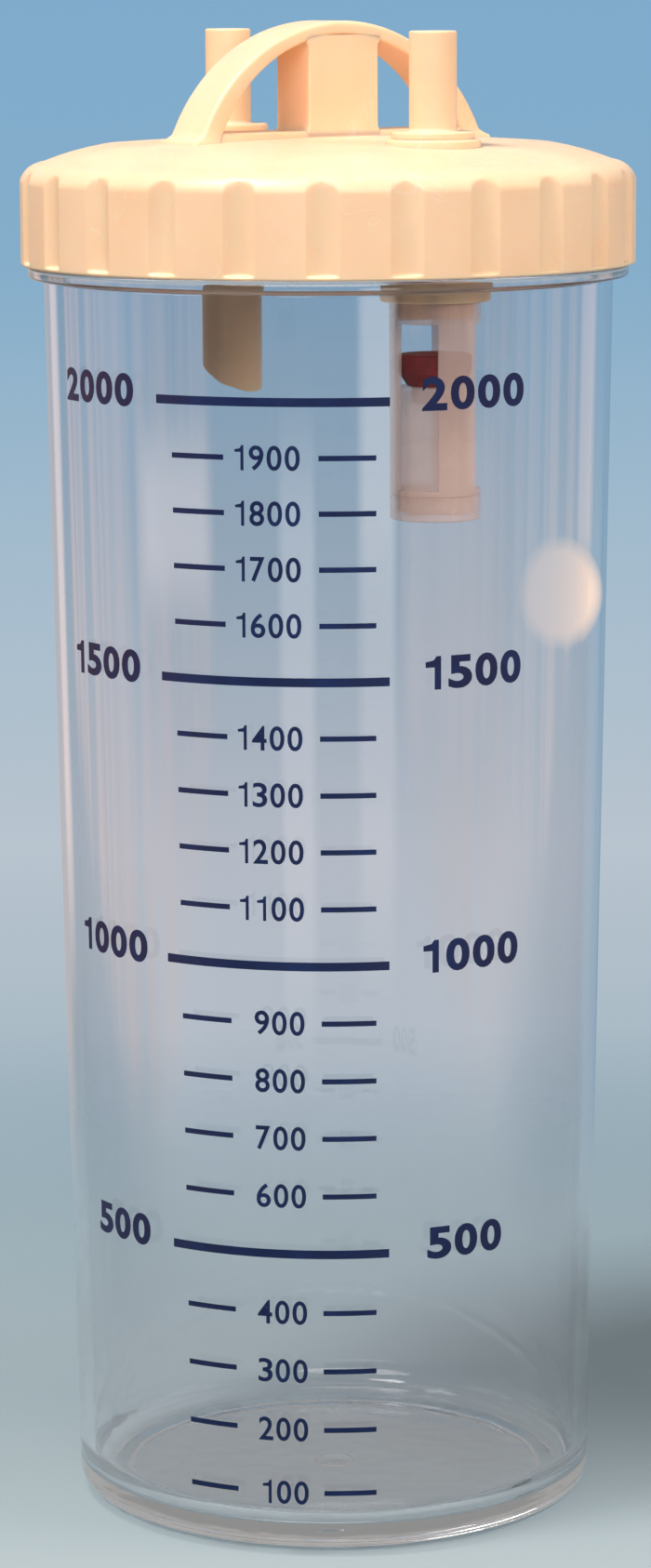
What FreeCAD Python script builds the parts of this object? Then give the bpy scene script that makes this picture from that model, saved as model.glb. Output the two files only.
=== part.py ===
"""A reusable suction canister: a clear graduated jar with a screw lid, two hose ports and a float valve.

Millimetres, +Z up. The origin is the centre of the jar's foot, and the printed scale faces -Y.
The lid is drawn with its handle along X and is turned on the jar's axis by lid_turn.
"""
import FreeCAD
import Part
import Sketcher
import math
import os
from types import SimpleNamespace

SIZES = [
    # The jar: one clear moulding with a foot ring, a tapered wall, a flange and a neck
    ("jar_height", 272.0, "foot to the top of the neck"),
    ("jar_radius_base", 53.5, "outside of the wall, carried down to the foot's plane"),
    ("jar_radius_top", 57.8, "outside of the wall under the flange"),
    ("jar_wall", 3.0, "wall thickness"),
    ("jar_floor", 3.6, "floor thickness"),
    ("jar_corner_outside", 5.5, "rounding between the wall and the foot"),
    ("jar_corner_inside", 6.5, "rounding between the wall and the floor"),
    ("foot_ring_width", 10.3, "foot ring, from the wall in to the recess"),
    ("foot_recess_depth", 1.6, "how far the floor's middle stands off the table"),
    ("gate_radius", 4.0, "moulding gate under the floor"),
    ("gate_depth", 0.7, "how far the gate stands down"),
    ("neck_height", 15.8, "top of the flange up to the rim"),
    ("flange_thickness", 2.3, "flange thickness"),
    ("flange_reach", 3.2, "wall under the flange out to the flange's edge"),
    ("neck_step", 0.6, "wall under the flange in to the neck's outside, without its thread"),
    ("rim_rounding", 0.8, "edge rounding of the rim and the flange"),
    ("foot_rounding", 0.6, "edge rounding of the foot ring's inside"),
    # The lid: a fluted skirt and a low dome, moulded in one with the arched handle
    ("lid_turn", 34.5, "angle from +X to the handle"),
    ("lid_clearance", 0.3, "from the flange up to the skirt"),
    ("skirt_gap", 2.8, "room for the thread, from the neck out to the skirt"),
    ("skirt_wall", 2.4, "skirt thickness"),
    ("shoulder_height", 17.0, "skirt's lower edge to the shoulder's lower edge"),
    ("shoulder_inset", 4.4, "skirt's outside in to where the shoulder's rounding meets the dome"),
    ("shoulder_rise", 20.6, "skirt's lower edge to the shoulder's upper edge"),
    ("shoulder_rounding", 5.2, "radius of the shoulder's rounding"),
    ("dome_edge_width", 12.0, "falling edge of the dome, from the shoulder in to its break"),
    ("dome_break_rise", 24.0, "skirt's lower edge to the dome's break"),
    ("dome_edge_radius", 60.0, "radius of the falling edge in section"),
    ("dome_rise", 25.6, "skirt's lower edge to the dome's centre"),
    ("lid_wall", 2.4, "thickness of the dome"),
    ("flute_radius", 5.0, "radius of each grip flute"),
    ("flute_depth", 1.2, "depth of each grip flute"),
    ("flute_lip", 1.1, "plain lip under the flutes"),
    ("flute_count", 24, "grip flutes round the skirt"),
    ("flute_phase", 9.5, "angle from the handle's direction to a flute"),
    ("gasket_thickness", 2.0, "gasket under the lid's seat"),
    ("gasket_inside_overlap", 0.3, "gasket beyond the neck's bore"),
    ("gasket_outside_overlap", 0.8, "gasket beyond the neck's outside"),
    ("plug_clearance", 0.8, "from the neck's bore to the lid's plug ring"),
    ("plug_wall", 1.8, "plug ring thickness"),
    ("plug_depth", 4.5, "how far the plug ring reaches below the seat"),
    # The handle on the lid
    ("handle_width", 12.0, "width of the strap"),
    ("handle_radius", 37.0, "outside radius of the arch"),
    ("handle_drop", 14.0, "dome's centre down to the arch's centre"),
    ("handle_crown", 2.8, "strap thickness at the top"),
    ("handle_taper", 5.7, "outside radius of the arch less its inside radius"),
    ("handle_foot_rounding", 3.0, "flare where the arch meets the dome"),
    ("handle_land", 0.3, "edge of that flare above the dome"),
    ("handle_sill", 1.2, "dome's centre up to the lower edge of the finger gaps"),
    ("handle_edge_rounding", 0.7, "rounding along the strap's edges"),
    ("post_width", 17.0, "post in the middle of the arch, along the arch"),
    ("handle_seam", 0.02, "between the handle's node and the dome that it is moulded with"),
    # The two hose ports
    ("port_offset", 36.5, "jar's axis to each port's axis, square to the handle"),
    ("port_bore", 3.4, "inside of the barrel"),
    ("port_wall", 1.3, "wall of the barrel"),
    ("port_length", 19.5, "barrel above its flange"),
    ("port_tip_chamfer", 0.5, "chamfer at the barrel's tip"),
    ("port_flange_reach", 3.5, "flange beyond the barrel"),
    ("port_flange_thickness", 1.5, "flange thickness"),
    ("spigot_wall", 1.2, "wall of the stem through the lid"),
    ("spigot_length", 16.0, "stem below the flange"),
    ("spigot_clearance", 0.1, "round the stem in the lid"),
    ("socket_fit", 0.03, "round the stem in the pieces pushed on it"),
    ("pad_rise", 0.2, "dome's centre up to the pads under the ports"),
    ("pad_margin", 1.2, "pad beyond the flange"),
    ("pad_thickness", 4.6, "pad, through the lid"),
    ("ring_section", 0.85, "section radius of the port's sealing ring"),
    ("ring_gap", 0.1, "from the sealing ring to the stem"),
    # Under the inlet port
    ("deflector_wall", 1.7, "deflector's wall with its fit on the stem"),
    ("deflector_length", 49.6, "from the pad to the lowest point"),
    ("deflector_cut_rise", 6.3, "height of the slanted end"),
    ("deflector_turn", 109.5, "direction that the slanted end faces, from the handle's"),
    ("slant_overrun", 3.0, "how far the slanted cut runs past the tube on each side"),
    # Under the vacuum port
    ("collar_wall", 1.8, "collar's wall with its fit round the cage"),
    ("collar_bottom", 27.0, "pad down to the collar's lower edge"),
    ("collar_skirt", 12.0, "height of the wide part"),
    ("sleeve_wall", 2.4, "sleeve's wall with its fit on the stem"),
    ("nozzle_clearance", 0.3, "nozzle to the cage's inside"),
    ("nozzle_reach", 3.2, "nozzle below the collar's edge"),
    ("nozzle_bore", 4.0, "valve seat's opening"),
    ("cage_radius", 8.9, "cage outside"),
    ("cage_wall", 1.2, "cage wall"),
    ("cage_fit", 0.03, "round the cage in the collar"),
    ("cage_grip", 5.0, "cage held inside the collar"),
    ("cage_length", 43.0, "collar's edge to the cage's end"),
    ("window_width", 60.0, "angle that each cage window takes"),
    ("window_count", 3, "cage windows"),
    ("window_turn", -32.0, "direction of the first window, from the handle's"),
    ("window_margin", 4.2, "collar's edge down to the windows"),
    ("end_ring_height", 4.9, "end ring at the cage's foot"),
    ("end_ring_width", 3.5, "end ring, from its outside in to its opening"),
    ("end_ring_lip", 1.6, "floor of the end ring"),
    ("float_clearance", 0.45, "float to the cage's inside"),
    ("float_length", 24.6, "float without its seal"),
    ("float_wall", 1.2, "float wall"),
    ("float_neck", 4.6, "opening in the float's top"),
    ("float_rounding", 1.2, "float edge rounding"),
    ("float_seat_gap", 0.2, "float above the end ring's floor"),
    ("seal_inset", 0.15, "float's outside in to the seal's"),
    ("seal_height", 6.3, "seal above the float"),
    ("seal_taper_height", 2.6, "tapered foot of the seal"),
    ("seal_taper", 1.7, "seal's outside in to where it meets the float"),
    ("seal_stem", 3.4, "stem inside the float's neck"),
]

# Shares of an edge's length where it is sampled, and how near a sample has to be, in millimetres
EDGE_SHARES = (0.0, 0.3, 0.7, 1.0)
NEAR = 0.01


class Size:
    """A length or angle with its number and the sheet formula that gives it."""

    def __init__(self, value, text):
        self.value = value
        self.text = text

    def join(self, other, sign, value):
        return Size(value, f"({self.text} {sign} {other.text})")

    def __add__(self, other):
        other = as_size(other)
        return self.join(other, "+", self.value + other.value)

    def __sub__(self, other):
        other = as_size(other)
        return self.join(other, "-", self.value - other.value)

    def __mul__(self, other):
        other = as_size(other)
        return self.join(other, "*", self.value * other.value)

    def __truediv__(self, other):
        other = as_size(other)
        return self.join(other, "/", self.value / other.value)

    def __neg__(self):
        return Size(-self.value, f"(-1 * {self.text})")


def as_size(number):
    """A plain number as a Size."""
    return number if isinstance(number, Size) else Size(float(number), f"{float(number)}")


def root(size):
    return Size(math.sqrt(size.value), f"sqrt({size.text})")


def sine(angle):
    return Size(math.sin(math.radians(angle.value)), f"sin({angle.text} * 1 deg)")


def cosine(angle):
    return Size(math.cos(math.radians(angle.value)), f"cos({angle.text} * 1 deg)")


def make_sheet(doc):
    """Writes the driving sizes and gives each one back by its name."""
    sheet = doc.addObject("Spreadsheet::Sheet", "Sizes")
    found = {}
    for row, (alias, value, note) in enumerate(SIZES, 1):
        sheet.set(f"A{row}", alias)
        sheet.set(f"B{row}", str(value))
        sheet.set(f"C{row}", note)
        sheet.setAlias(f"B{row}", alias)
        found[alias] = Size(float(value), f"Sizes.{alias}")
    doc.recompute()
    return SimpleNamespace(**found)


def add_mating_sizes(s):
    """Adds the sizes that follow from a neighbour's, so that mating parts keep their clearances."""
    s.flange_top = s.jar_height - s.neck_height
    s.foot_recess_radius = s.jar_radius_base - s.foot_ring_width
    s.flange_radius = s.jar_radius_top + s.flange_reach
    s.neck_radius = s.jar_radius_top - s.neck_step
    s.neck_bore = s.neck_radius - s.jar_wall
    s.skirt_inside = s.neck_radius + s.skirt_gap
    s.skirt_radius = s.skirt_inside + s.skirt_wall
    s.shoulder_radius = s.skirt_radius - s.shoulder_inset
    s.dome_break_radius = s.shoulder_radius - s.dome_edge_width
    s.gasket_inner_radius = s.neck_bore - s.gasket_inside_overlap
    s.gasket_outer_radius = s.neck_radius + s.gasket_outside_overlap
    s.handle_inner_radius = s.handle_radius - s.handle_taper
    s.port_radius = s.port_bore + s.port_wall
    s.port_flange_radius = s.port_radius + s.port_flange_reach
    s.pad_radius = s.port_flange_radius + s.pad_margin
    s.spigot_radius = s.port_bore + s.spigot_wall
    s.deflector_radius = s.spigot_radius + s.deflector_wall
    s.collar_radius = s.cage_radius + s.collar_wall
    s.collar_sleeve_radius = s.spigot_radius + s.sleeve_wall
    s.cage_inside = s.cage_radius - s.cage_wall
    s.nozzle_radius = s.cage_inside - s.nozzle_clearance
    s.end_ring_bore = s.cage_radius - s.end_ring_width
    s.float_radius = s.cage_inside - s.float_clearance
    s.seal_radius = s.float_radius - s.seal_inset
    s.seal_foot_radius = s.seal_radius - s.seal_taper


def bind(thing, name, size):
    """Ties a property to its formula."""
    thing.setExpression(name, as_size(size).text)


def new_body(doc, label):
    body = doc.addObject("PartDesign::Body", label)
    body.Label = label
    return body


def new_sketch(body, name, role, height=None):
    """A sketch on one of the body's own origin planes, raised by height where that is given."""
    plane = [o for o in body.Origin.OriginFeatures if o.Role == role][0]
    sketch = body.newObject("Sketcher::SketchObject", name)
    sketch.AttachmentSupport = [(plane, "")]
    sketch.MapMode = "FlatFace"
    if height is not None:
        sketch.AttachmentOffset = FreeCAD.Placement(FreeCAD.Vector(0, 0, height.value), FreeCAD.Rotation())
        bind(sketch, "AttachmentOffset.Base.z", height)
    return sketch


def fix_distance(sketch, kind, geometry, point, size):
    """Dimensions one coordinate of a point from the sketch's origin, whichever side it lies on."""
    if size.value >= 0:
        number = sketch.addConstraint(Sketcher.Constraint(kind, -1, 1, geometry, point, size.value))
        sketch.setExpression(f"Constraints[{number}]", size.text)
    else:
        number = sketch.addConstraint(Sketcher.Constraint(kind, geometry, point, -1, 1, -size.value))
        sketch.setExpression(f"Constraints[{number}]", (-size).text)


def arc_between(start, end, radius, turn):
    """The shorter arc from start to end: turn is 1 for counter-clockwise and -1 for clockwise."""
    chord = end - start
    middle = (start + end) * 0.5
    height = math.sqrt(max(0.0, radius * radius - chord.Length * chord.Length / 4))
    side = FreeCAD.Vector(-chord.y, chord.x, 0).normalize()
    centre = middle + side * height * turn
    first, last = (start, end) if turn > 0 else (end, start)
    angles = [math.atan2(p.y - centre.y, p.x - centre.x) for p in (first, last)]
    return Part.ArcOfCircle(Part.Circle(centre, FreeCAD.Vector(0, 0, 1), radius), angles[0], angles[1])


def add_outline(sketch, corners):
    """A closed outline. A corner is (x, y), or (x, y, radius, turn) where an arc leaves it."""
    corners = [tuple(as_size(value) for value in corner[:2]) + tuple(corner[2:]) for corner in corners]
    ends = []
    for index, corner in enumerate(corners):
        after = corners[(index + 1) % len(corners)]
        start = FreeCAD.Vector(corner[0].value, corner[1].value, 0)
        end = FreeCAD.Vector(after[0].value, after[1].value, 0)
        if len(corner) == 2:
            number = sketch.addGeometry(Part.LineSegment(start, end), False)
            ends.append((number, 1, 2))
        else:
            radius, turn = as_size(corner[2]), corner[3]
            number = sketch.addGeometry(arc_between(start, end, radius.value, turn), False)
            rule = sketch.addConstraint(Sketcher.Constraint("Radius", number, radius.value))
            sketch.setExpression(f"Constraints[{rule}]", radius.text)
            ends.append((number, 1, 2) if turn > 0 else (number, 2, 1))
    for index, (number, first, last) in enumerate(ends):
        following, following_first, _ = ends[(index + 1) % len(ends)]
        sketch.addConstraint(Sketcher.Constraint("Coincident", number, last, following, following_first))
        fix_distance(sketch, "DistanceX", number, first, corners[index][0])
        fix_distance(sketch, "DistanceY", number, first, corners[index][1])


def add_circle(sketch, x, y, radius):
    """A circle whose centre and radius are dimensioned."""
    x, y, radius = as_size(x), as_size(y), as_size(radius)
    centre = FreeCAD.Vector(x.value, y.value, 0)
    number = sketch.addGeometry(Part.Circle(centre, FreeCAD.Vector(0, 0, 1), radius.value), False)
    rule = sketch.addConstraint(Sketcher.Constraint("Radius", number, radius.value))
    sketch.setExpression(f"Constraints[{rule}]", radius.text)
    fix_distance(sketch, "DistanceX", number, 3, x)
    fix_distance(sketch, "DistanceY", number, 3, y)


def revolve(body, name, corners):
    """Turns an outline of (radius, height) corners about the body's Z axis."""
    sketch = new_sketch(body, name + "_section", "XZ_Plane")
    add_outline(sketch, corners)
    turned = body.newObject("PartDesign::Revolution", name)
    turned.Profile = sketch
    turned.ReferenceAxis = (sketch, ["V_Axis"])
    turned.Angle = 360
    body.Document.recompute()
    return turned


def pad(body, name, sketch, length, middle=False, reverse=False):
    """Adds the sketch's area over a length, both ways from its plane where middle is set."""
    made = body.newObject("PartDesign::Pad", name)
    made.Profile = sketch
    made.Midplane = middle
    made.Reversed = reverse
    bind(made, "Length", length)
    body.Document.recompute()
    return made


def pocket(body, name, sketch, length, middle=False, reverse=False):
    """Cuts the sketch's area over a length, and checks that the cut took something away."""
    before = body.Shape.Volume
    made = body.newObject("PartDesign::Pocket", name)
    made.Profile = sketch
    made.Midplane = middle
    made.Reversed = reverse
    bind(made, "Length", length)
    body.Document.recompute()
    if not body.Shape.Volume < before:
        raise RuntimeError(f"{name} cuts nothing")
    return made


def repeat_round(body, name, feature, count):
    """Repeats a feature round the body's Z axis."""
    axis = [o for o in body.Origin.OriginFeatures if o.Role == "Z_Axis"][0]
    pattern = body.newObject("PartDesign::PolarPattern", name)
    pattern.Originals = [feature]
    pattern.Axis = (axis, [""])
    pattern.Angle = 360
    bind(pattern, "Occurrences", count)
    body.Tip = pattern
    body.Document.recompute()
    return pattern


def dress(body, kind, name, size, wanted):
    """Rounds or chamfers the edges that wanted picks from the body as it is so far."""
    base = body.Tip
    names = [f"Edge{number}" for number, edge in enumerate(base.Shape.Edges, 1) if wanted(edge)]
    if not names:
        raise RuntimeError(f"{name} finds no edge")
    made = body.newObject("PartDesign::" + kind, name)
    made.Base = (base, names)
    bind(made, "Radius" if kind == "Fillet" else "Size", size)
    body.Document.recompute()
    return made


def points_on(edge):
    """Points along an edge, enough to tell which circle it belongs to."""
    first, span = edge.FirstParameter, edge.LastParameter - edge.FirstParameter
    return [edge.valueAt(first + span * share) for share in EDGE_SHARES]


def close(first, second):
    return abs(first - second) < NEAR


def ring_edges(*rings):
    """Picks edges that run round the Z axis, each given by its radius and height."""
    def wanted(edge):
        points = points_on(edge)
        return any(
            all(close(math.hypot(p.x, p.y), radius.value) and close(p.z, height.value) for p in points)
            for radius, height in rings
        )
    return wanted


def seat(thing, turn, x=None, y=None):
    """Turns a piece about Z, after moving it to x, y in the frame that is turned with the lid."""
    d = thing.Document.Sizes
    x, y = as_size(x or 0), as_size(y or 0)
    lid = Size(float(d.lid_turn), "Sizes.lid_turn")
    base_x = x * cosine(lid) - y * sine(lid)
    base_y = x * sine(lid) + y * cosine(lid)
    base = FreeCAD.Vector(base_x.value, base_y.value, 0)
    thing.Placement = FreeCAD.Placement(base, FreeCAD.Rotation(FreeCAD.Vector(0, 0, 1), turn.value))
    bind(thing, "Placement.Base.x", base_x)
    bind(thing, "Placement.Base.y", base_y)
    bind(thing, "Placement.Rotation.Angle", turn)
    return thing


def lid_levels(s):
    """Heights that the lid, its gasket and what hangs from it share."""
    skirt_bottom = s.flange_top + s.lid_clearance
    dome_top = skirt_bottom + s.dome_rise
    pad_top = dome_top + s.pad_rise
    return SimpleNamespace(
        skirt_bottom=skirt_bottom,
        seat=s.jar_height + s.gasket_thickness,
        dome_top=dome_top,
        pad_top=pad_top,
        pad_bottom=pad_top - s.pad_thickness,
    )


def cap_radius(half_width, height):
    """Radius of the sphere through a cap's rim and top."""
    return (half_width * half_width + height * height) / (height * 2)


def cap_drop(radius, half_width):
    """How far a sphere has fallen below its top at a distance from its axis."""
    return radius - root(radius * radius - half_width * half_width)


def dome_cap(s):
    """Radius of the sphere that the dome's top is part of."""
    return cap_radius(s.dome_break_radius, s.dome_rise - s.dome_break_rise)


def make_jar(doc, s):
    """The clear jar: foot ring, tapered wall, flange and neck in one moulding."""
    body = new_body(doc, "jar")
    floor_top = s.foot_recess_depth + s.jar_floor
    flange_bottom = s.flange_top - s.flange_thickness
    inside_base = s.jar_radius_base - s.jar_wall
    revolve(body, "jar_wall_and_neck", [
        (0, s.foot_recess_depth),
        (s.foot_recess_radius, s.foot_recess_depth),
        (s.foot_recess_radius, 0),
        (s.jar_radius_base, 0),
        (s.jar_radius_top, flange_bottom),
        (s.flange_radius, flange_bottom),
        (s.flange_radius, s.flange_top),
        (s.neck_radius, s.flange_top),
        (s.neck_radius, s.jar_height),
        (s.neck_bore, s.jar_height),
        (s.neck_bore, flange_bottom),
        (inside_base, floor_top),
        (0, floor_top),
    ])
    gate = new_sketch(body, "gate_outline", "XY_Plane", s.foot_recess_depth)
    add_circle(gate, 0, 0, s.gate_radius)
    pad(body, "gate", gate, s.gate_depth, reverse=True)
    dress(body, "Fillet", "corner_outside", s.jar_corner_outside, ring_edges((s.jar_radius_base, as_size(0))))
    dress(body, "Fillet", "corner_inside", s.jar_corner_inside, ring_edges((inside_base, floor_top)))
    dress(body, "Fillet", "foot_edges", s.foot_rounding, ring_edges(
        (s.foot_recess_radius, s.foot_recess_depth),
        (s.foot_recess_radius, as_size(0)),
    ))
    dress(body, "Fillet", "rim_edges", s.rim_rounding, ring_edges(
        (s.flange_radius, flange_bottom),
        (s.flange_radius, s.flange_top),
        (s.neck_radius, s.flange_top),
        (s.neck_radius, s.jar_height),
        (s.neck_bore, s.jar_height),
    ))
    return body


def add_lid_shell(body, s, level):
    """The dome, shoulder, skirt, gasket seat and plug ring, turned as one section."""
    ceiling_cap = dome_cap(s) - s.lid_wall
    ceiling_top = level.dome_top - s.lid_wall
    plug_outside = s.neck_bore - s.plug_clearance
    plug_inside = plug_outside - s.plug_wall
    plug_bottom = level.seat - s.plug_depth
    revolve(body, "lid_shell", [
        (0, level.dome_top, dome_cap(s), -1),
        (s.dome_break_radius, level.skirt_bottom + s.dome_break_rise, s.dome_edge_radius, -1),
        (s.shoulder_radius, level.skirt_bottom + s.shoulder_rise, s.shoulder_rounding, -1),
        (s.skirt_radius, level.skirt_bottom + s.shoulder_height),
        (s.skirt_radius, level.skirt_bottom),
        (s.skirt_inside, level.skirt_bottom),
        (s.skirt_inside, level.seat),
        (plug_outside, level.seat),
        (plug_outside, plug_bottom),
        (plug_inside, plug_bottom),
        (plug_inside, ceiling_top - cap_drop(ceiling_cap, plug_inside), ceiling_cap, 1),
        (0, ceiling_top),
    ])


def make_handle(doc, s, level):
    """The arched strap with its middle post and sill, cut to stand on the dome.

    It is one moulding with the lid, and a node of its own so that its two finger gaps stay open.
    """
    body = new_body(doc, "lid_handle")
    centre = level.dome_top - s.handle_drop
    foot = level.dome_top - cap_drop(dome_cap(s), s.handle_radius) + s.handle_land
    sunk = foot - s.lid_wall / 2
    sill = level.dome_top + s.handle_sill
    flare = s.handle_foot_rounding
    flare_height = foot + flare - centre
    flare_centre = root((s.handle_radius + flare) * (s.handle_radius + flare) - flare_height * flare_height)
    leave = s.handle_radius / (s.handle_radius + flare)
    side_x = flare_centre * leave
    side_z = centre + flare_height * leave
    outline = new_sketch(body, "handle_outline", "XZ_Plane")
    add_outline(outline, [
        (flare_centre, sunk),
        (flare_centre, foot, flare, -1),
        (side_x, side_z, s.handle_radius, 1),
        (0, centre + s.handle_radius, s.handle_radius, 1),
        (-side_x, side_z, flare, -1),
        (-flare_centre, foot),
        (-flare_centre, sunk),
    ])
    inner_centre = centre + s.handle_radius - s.handle_crown - s.handle_inner_radius
    inner = s.handle_inner_radius
    post = s.post_width / 2
    post_top = inner_centre + root(inner * inner - post * post)
    sill_x = root(inner * inner - (sill - inner_centre) * (sill - inner_centre))
    add_outline(outline, [
        (post, sill),
        (sill_x, sill, inner, 1),
        (post, post_top),
    ])
    add_outline(outline, [
        (-sill_x, sill),
        (-post, sill),
        (-post, post_top, inner, 1),
    ])
    pad(body, "handle", outline, s.handle_width, middle=True)
    side = s.handle_width / 2
    arcs = ((s.handle_radius, centre), (inner, inner_centre))

    def strap_edge(edge):
        points = points_on(edge)
        return all(close(abs(p.y), side.value) for p in points) and any(
            all(close(math.hypot(p.x, p.z - middle.value), radius.value) for p in points)
            for radius, middle in arcs
        )

    dress(body, "Fillet", "handle_edges", s.handle_edge_rounding, strap_edge)
    under = new_sketch(body, "under_handle_section", "XZ_Plane")
    below = sunk - s.lid_wall
    add_outline(under, [
        (0, below),
        (s.dome_break_radius, below),
        (s.dome_break_radius, level.skirt_bottom + s.dome_break_rise + s.handle_seam, dome_cap(s), 1),
        (0, level.dome_top + s.handle_seam),
    ])
    cut = body.newObject("PartDesign::Groove", "under_handle")
    cut.Profile = under
    cut.ReferenceAxis = (under, ["V_Axis"])
    cut.Angle = 360
    body.Document.recompute()
    return seat(body, s.lid_turn)


def add_port_pads(body, s, level):
    """The flat pads that the ports sit on, with their holes and sealing ring seats."""
    pads = new_sketch(body, "pad_outline", "XY_Plane", level.pad_bottom)
    holes = new_sketch(body, "port_hole_outline", "XY_Plane", level.pad_top)
    seats = new_sketch(body, "ring_seat_outline", "XY_Plane", level.pad_top)
    ring_outside = s.spigot_radius + s.ring_section * 2 + s.ring_gap * 2
    for y in (s.port_offset, -s.port_offset):
        add_circle(pads, 0, y, s.pad_radius)
        add_circle(holes, 0, y, s.spigot_radius + s.spigot_clearance)
        add_circle(seats, 0, y, ring_outside)
    pad(body, "port_pads", pads, s.pad_thickness)
    pocket(body, "port_holes", holes, s.pad_thickness + s.lid_wall)
    pocket(body, "ring_seats", seats, s.ring_section * 2)


def make_lid(doc, s, level):
    """The lid's shell: fluted skirt, low dome and the pads under the ports."""
    body = new_body(doc, "lid")
    add_lid_shell(body, s, level)
    flute = new_sketch(body, "flute_outline", "XY_Plane", level.skirt_bottom + s.flute_lip)
    reach = s.skirt_radius + s.flute_radius - s.flute_depth
    add_circle(flute, reach * cosine(s.flute_phase), reach * sine(s.flute_phase), s.flute_radius)
    cut = pocket(body, "flute", flute, s.dome_rise, reverse=True)
    repeat_round(body, "flutes", cut, s.flute_count)
    add_port_pads(body, s, level)
    return seat(body, s.lid_turn)


def make_gasket(doc, s, level):
    """The flat ring between the jar's rim and the lid's seat."""
    body = new_body(doc, "lid_gasket")
    revolve(body, "gasket_ring", [
        (s.gasket_inner_radius, s.jar_height),
        (s.gasket_outer_radius, s.jar_height),
        (s.gasket_outer_radius, level.seat),
        (s.gasket_inner_radius, level.seat),
    ])
    return seat(body, s.lid_turn)


def make_port(doc, s, level, label, side):
    """A hose port: barrel, flange on the lid's pad and stem through it. side is 1 or -1 along the port line."""
    body = new_body(doc, label)
    flange_top = level.pad_top + s.port_flange_thickness
    revolve(body, "port_tube", [
        (s.port_bore, level.pad_top - s.spigot_length),
        (s.spigot_radius, level.pad_top - s.spigot_length),
        (s.spigot_radius, level.pad_top),
        (s.port_flange_radius, level.pad_top),
        (s.port_flange_radius, flange_top),
        (s.port_radius, flange_top),
        (s.port_radius, flange_top + s.port_length),
        (s.port_bore, flange_top + s.port_length),
    ])
    dress(body, "Chamfer", "port_edges", s.port_tip_chamfer, ring_edges(
        (s.port_radius, flange_top + s.port_length),
        (s.port_flange_radius, flange_top),
        (s.spigot_radius, level.pad_top - s.spigot_length),
    ))
    return seat(body, s.lid_turn, 0, s.port_offset * side)


def make_sealing_ring(doc, s, level, label, side):
    """The round-section ring that seals a port's stem in the lid's pad."""
    ring = doc.addObject("Part::Torus", label)
    ring.Label = label
    bind(ring, "Radius1", s.spigot_radius + s.ring_gap + s.ring_section)
    bind(ring, "Radius2", s.ring_section)
    seat(ring, s.lid_turn, 0, s.port_offset * side)
    middle = level.pad_top - s.ring_section
    ring.Placement.Base.z = middle.value
    bind(ring, "Placement.Base.z", middle)
    return ring


def make_deflector(doc, s, level):
    """The inlet's splash tube, pushed on the stem, with a slanted lower end."""
    body = new_body(doc, "inlet_deflector")
    bottom = level.pad_bottom - s.deflector_length
    inside = s.spigot_radius + s.socket_fit
    revolve(body, "deflector_tube", [
        (inside, bottom),
        (s.deflector_radius, bottom),
        (s.deflector_radius, level.pad_bottom),
        (inside, level.pad_bottom),
    ])
    slant = new_sketch(body, "slant_outline", "XZ_Plane")
    beyond = s.deflector_radius + s.slant_overrun
    step = s.deflector_cut_rise * s.slant_overrun / (s.deflector_radius * 2)
    add_outline(slant, [
        (-beyond, bottom - step),
        (beyond, bottom - step),
        (beyond, bottom + s.deflector_cut_rise + step),
    ])
    pocket(body, "slanted_end", slant, beyond * 2, middle=True)
    return seat(body, s.lid_turn + s.deflector_turn, 0, s.port_offset)


def make_collar(doc, s, level):
    """The float valve's collar: sleeve on the stem, wide skirt over the cage, nozzle with the seat."""
    body = new_body(doc, "valve_collar")
    edge = level.pad_bottom - s.collar_bottom
    shelf = edge + s.collar_skirt
    stem_end = level.pad_top - s.spigot_length
    cage_outside = s.cage_radius + s.cage_fit
    revolve(body, "collar", [
        (s.spigot_radius + s.socket_fit, level.pad_bottom),
        (s.spigot_radius + s.socket_fit, stem_end - s.spigot_clearance),
        (s.nozzle_bore, stem_end - s.spigot_clearance),
        (s.nozzle_bore, edge - s.nozzle_reach),
        (s.nozzle_radius, edge - s.nozzle_reach),
        (s.nozzle_radius, edge + s.cage_grip),
        (cage_outside, edge + s.cage_grip),
        (cage_outside, edge),
        (s.collar_radius, edge),
        (s.collar_radius, shelf),
        (s.collar_sleeve_radius, shelf + s.collar_radius - s.collar_sleeve_radius),
        (s.collar_sleeve_radius, level.pad_bottom),
    ])
    return seat(body, s.lid_turn, 0, -s.port_offset)


def make_cage(doc, s, level):
    """The float's cage: a thin tube with tall windows between its legs."""
    body = new_body(doc, "float_cage")
    edge = level.pad_bottom - s.collar_bottom
    ring_top = edge - s.cage_length + s.end_ring_height
    revolve(body, "cage_tube", [
        (s.cage_inside, ring_top),
        (s.cage_radius, ring_top),
        (s.cage_radius, edge + s.cage_grip),
        (s.cage_inside, edge + s.cage_grip),
    ])
    window = new_sketch(body, "window_outline", "XY_Plane", ring_top + s.cage_wall)
    reach = s.cage_radius * 2
    half = s.window_width / 2
    add_outline(window, [
        (0, 0),
        (reach * cosine(half), -reach * sine(half)),
        (reach * cosine(half), reach * sine(half)),
    ])
    height = edge - s.window_margin - ring_top - s.cage_wall
    cut = pocket(body, "window", window, height, reverse=True)
    repeat_round(body, "windows", cut, s.window_count)
    return seat(body, s.lid_turn + s.window_turn, 0, -s.port_offset)


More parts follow.
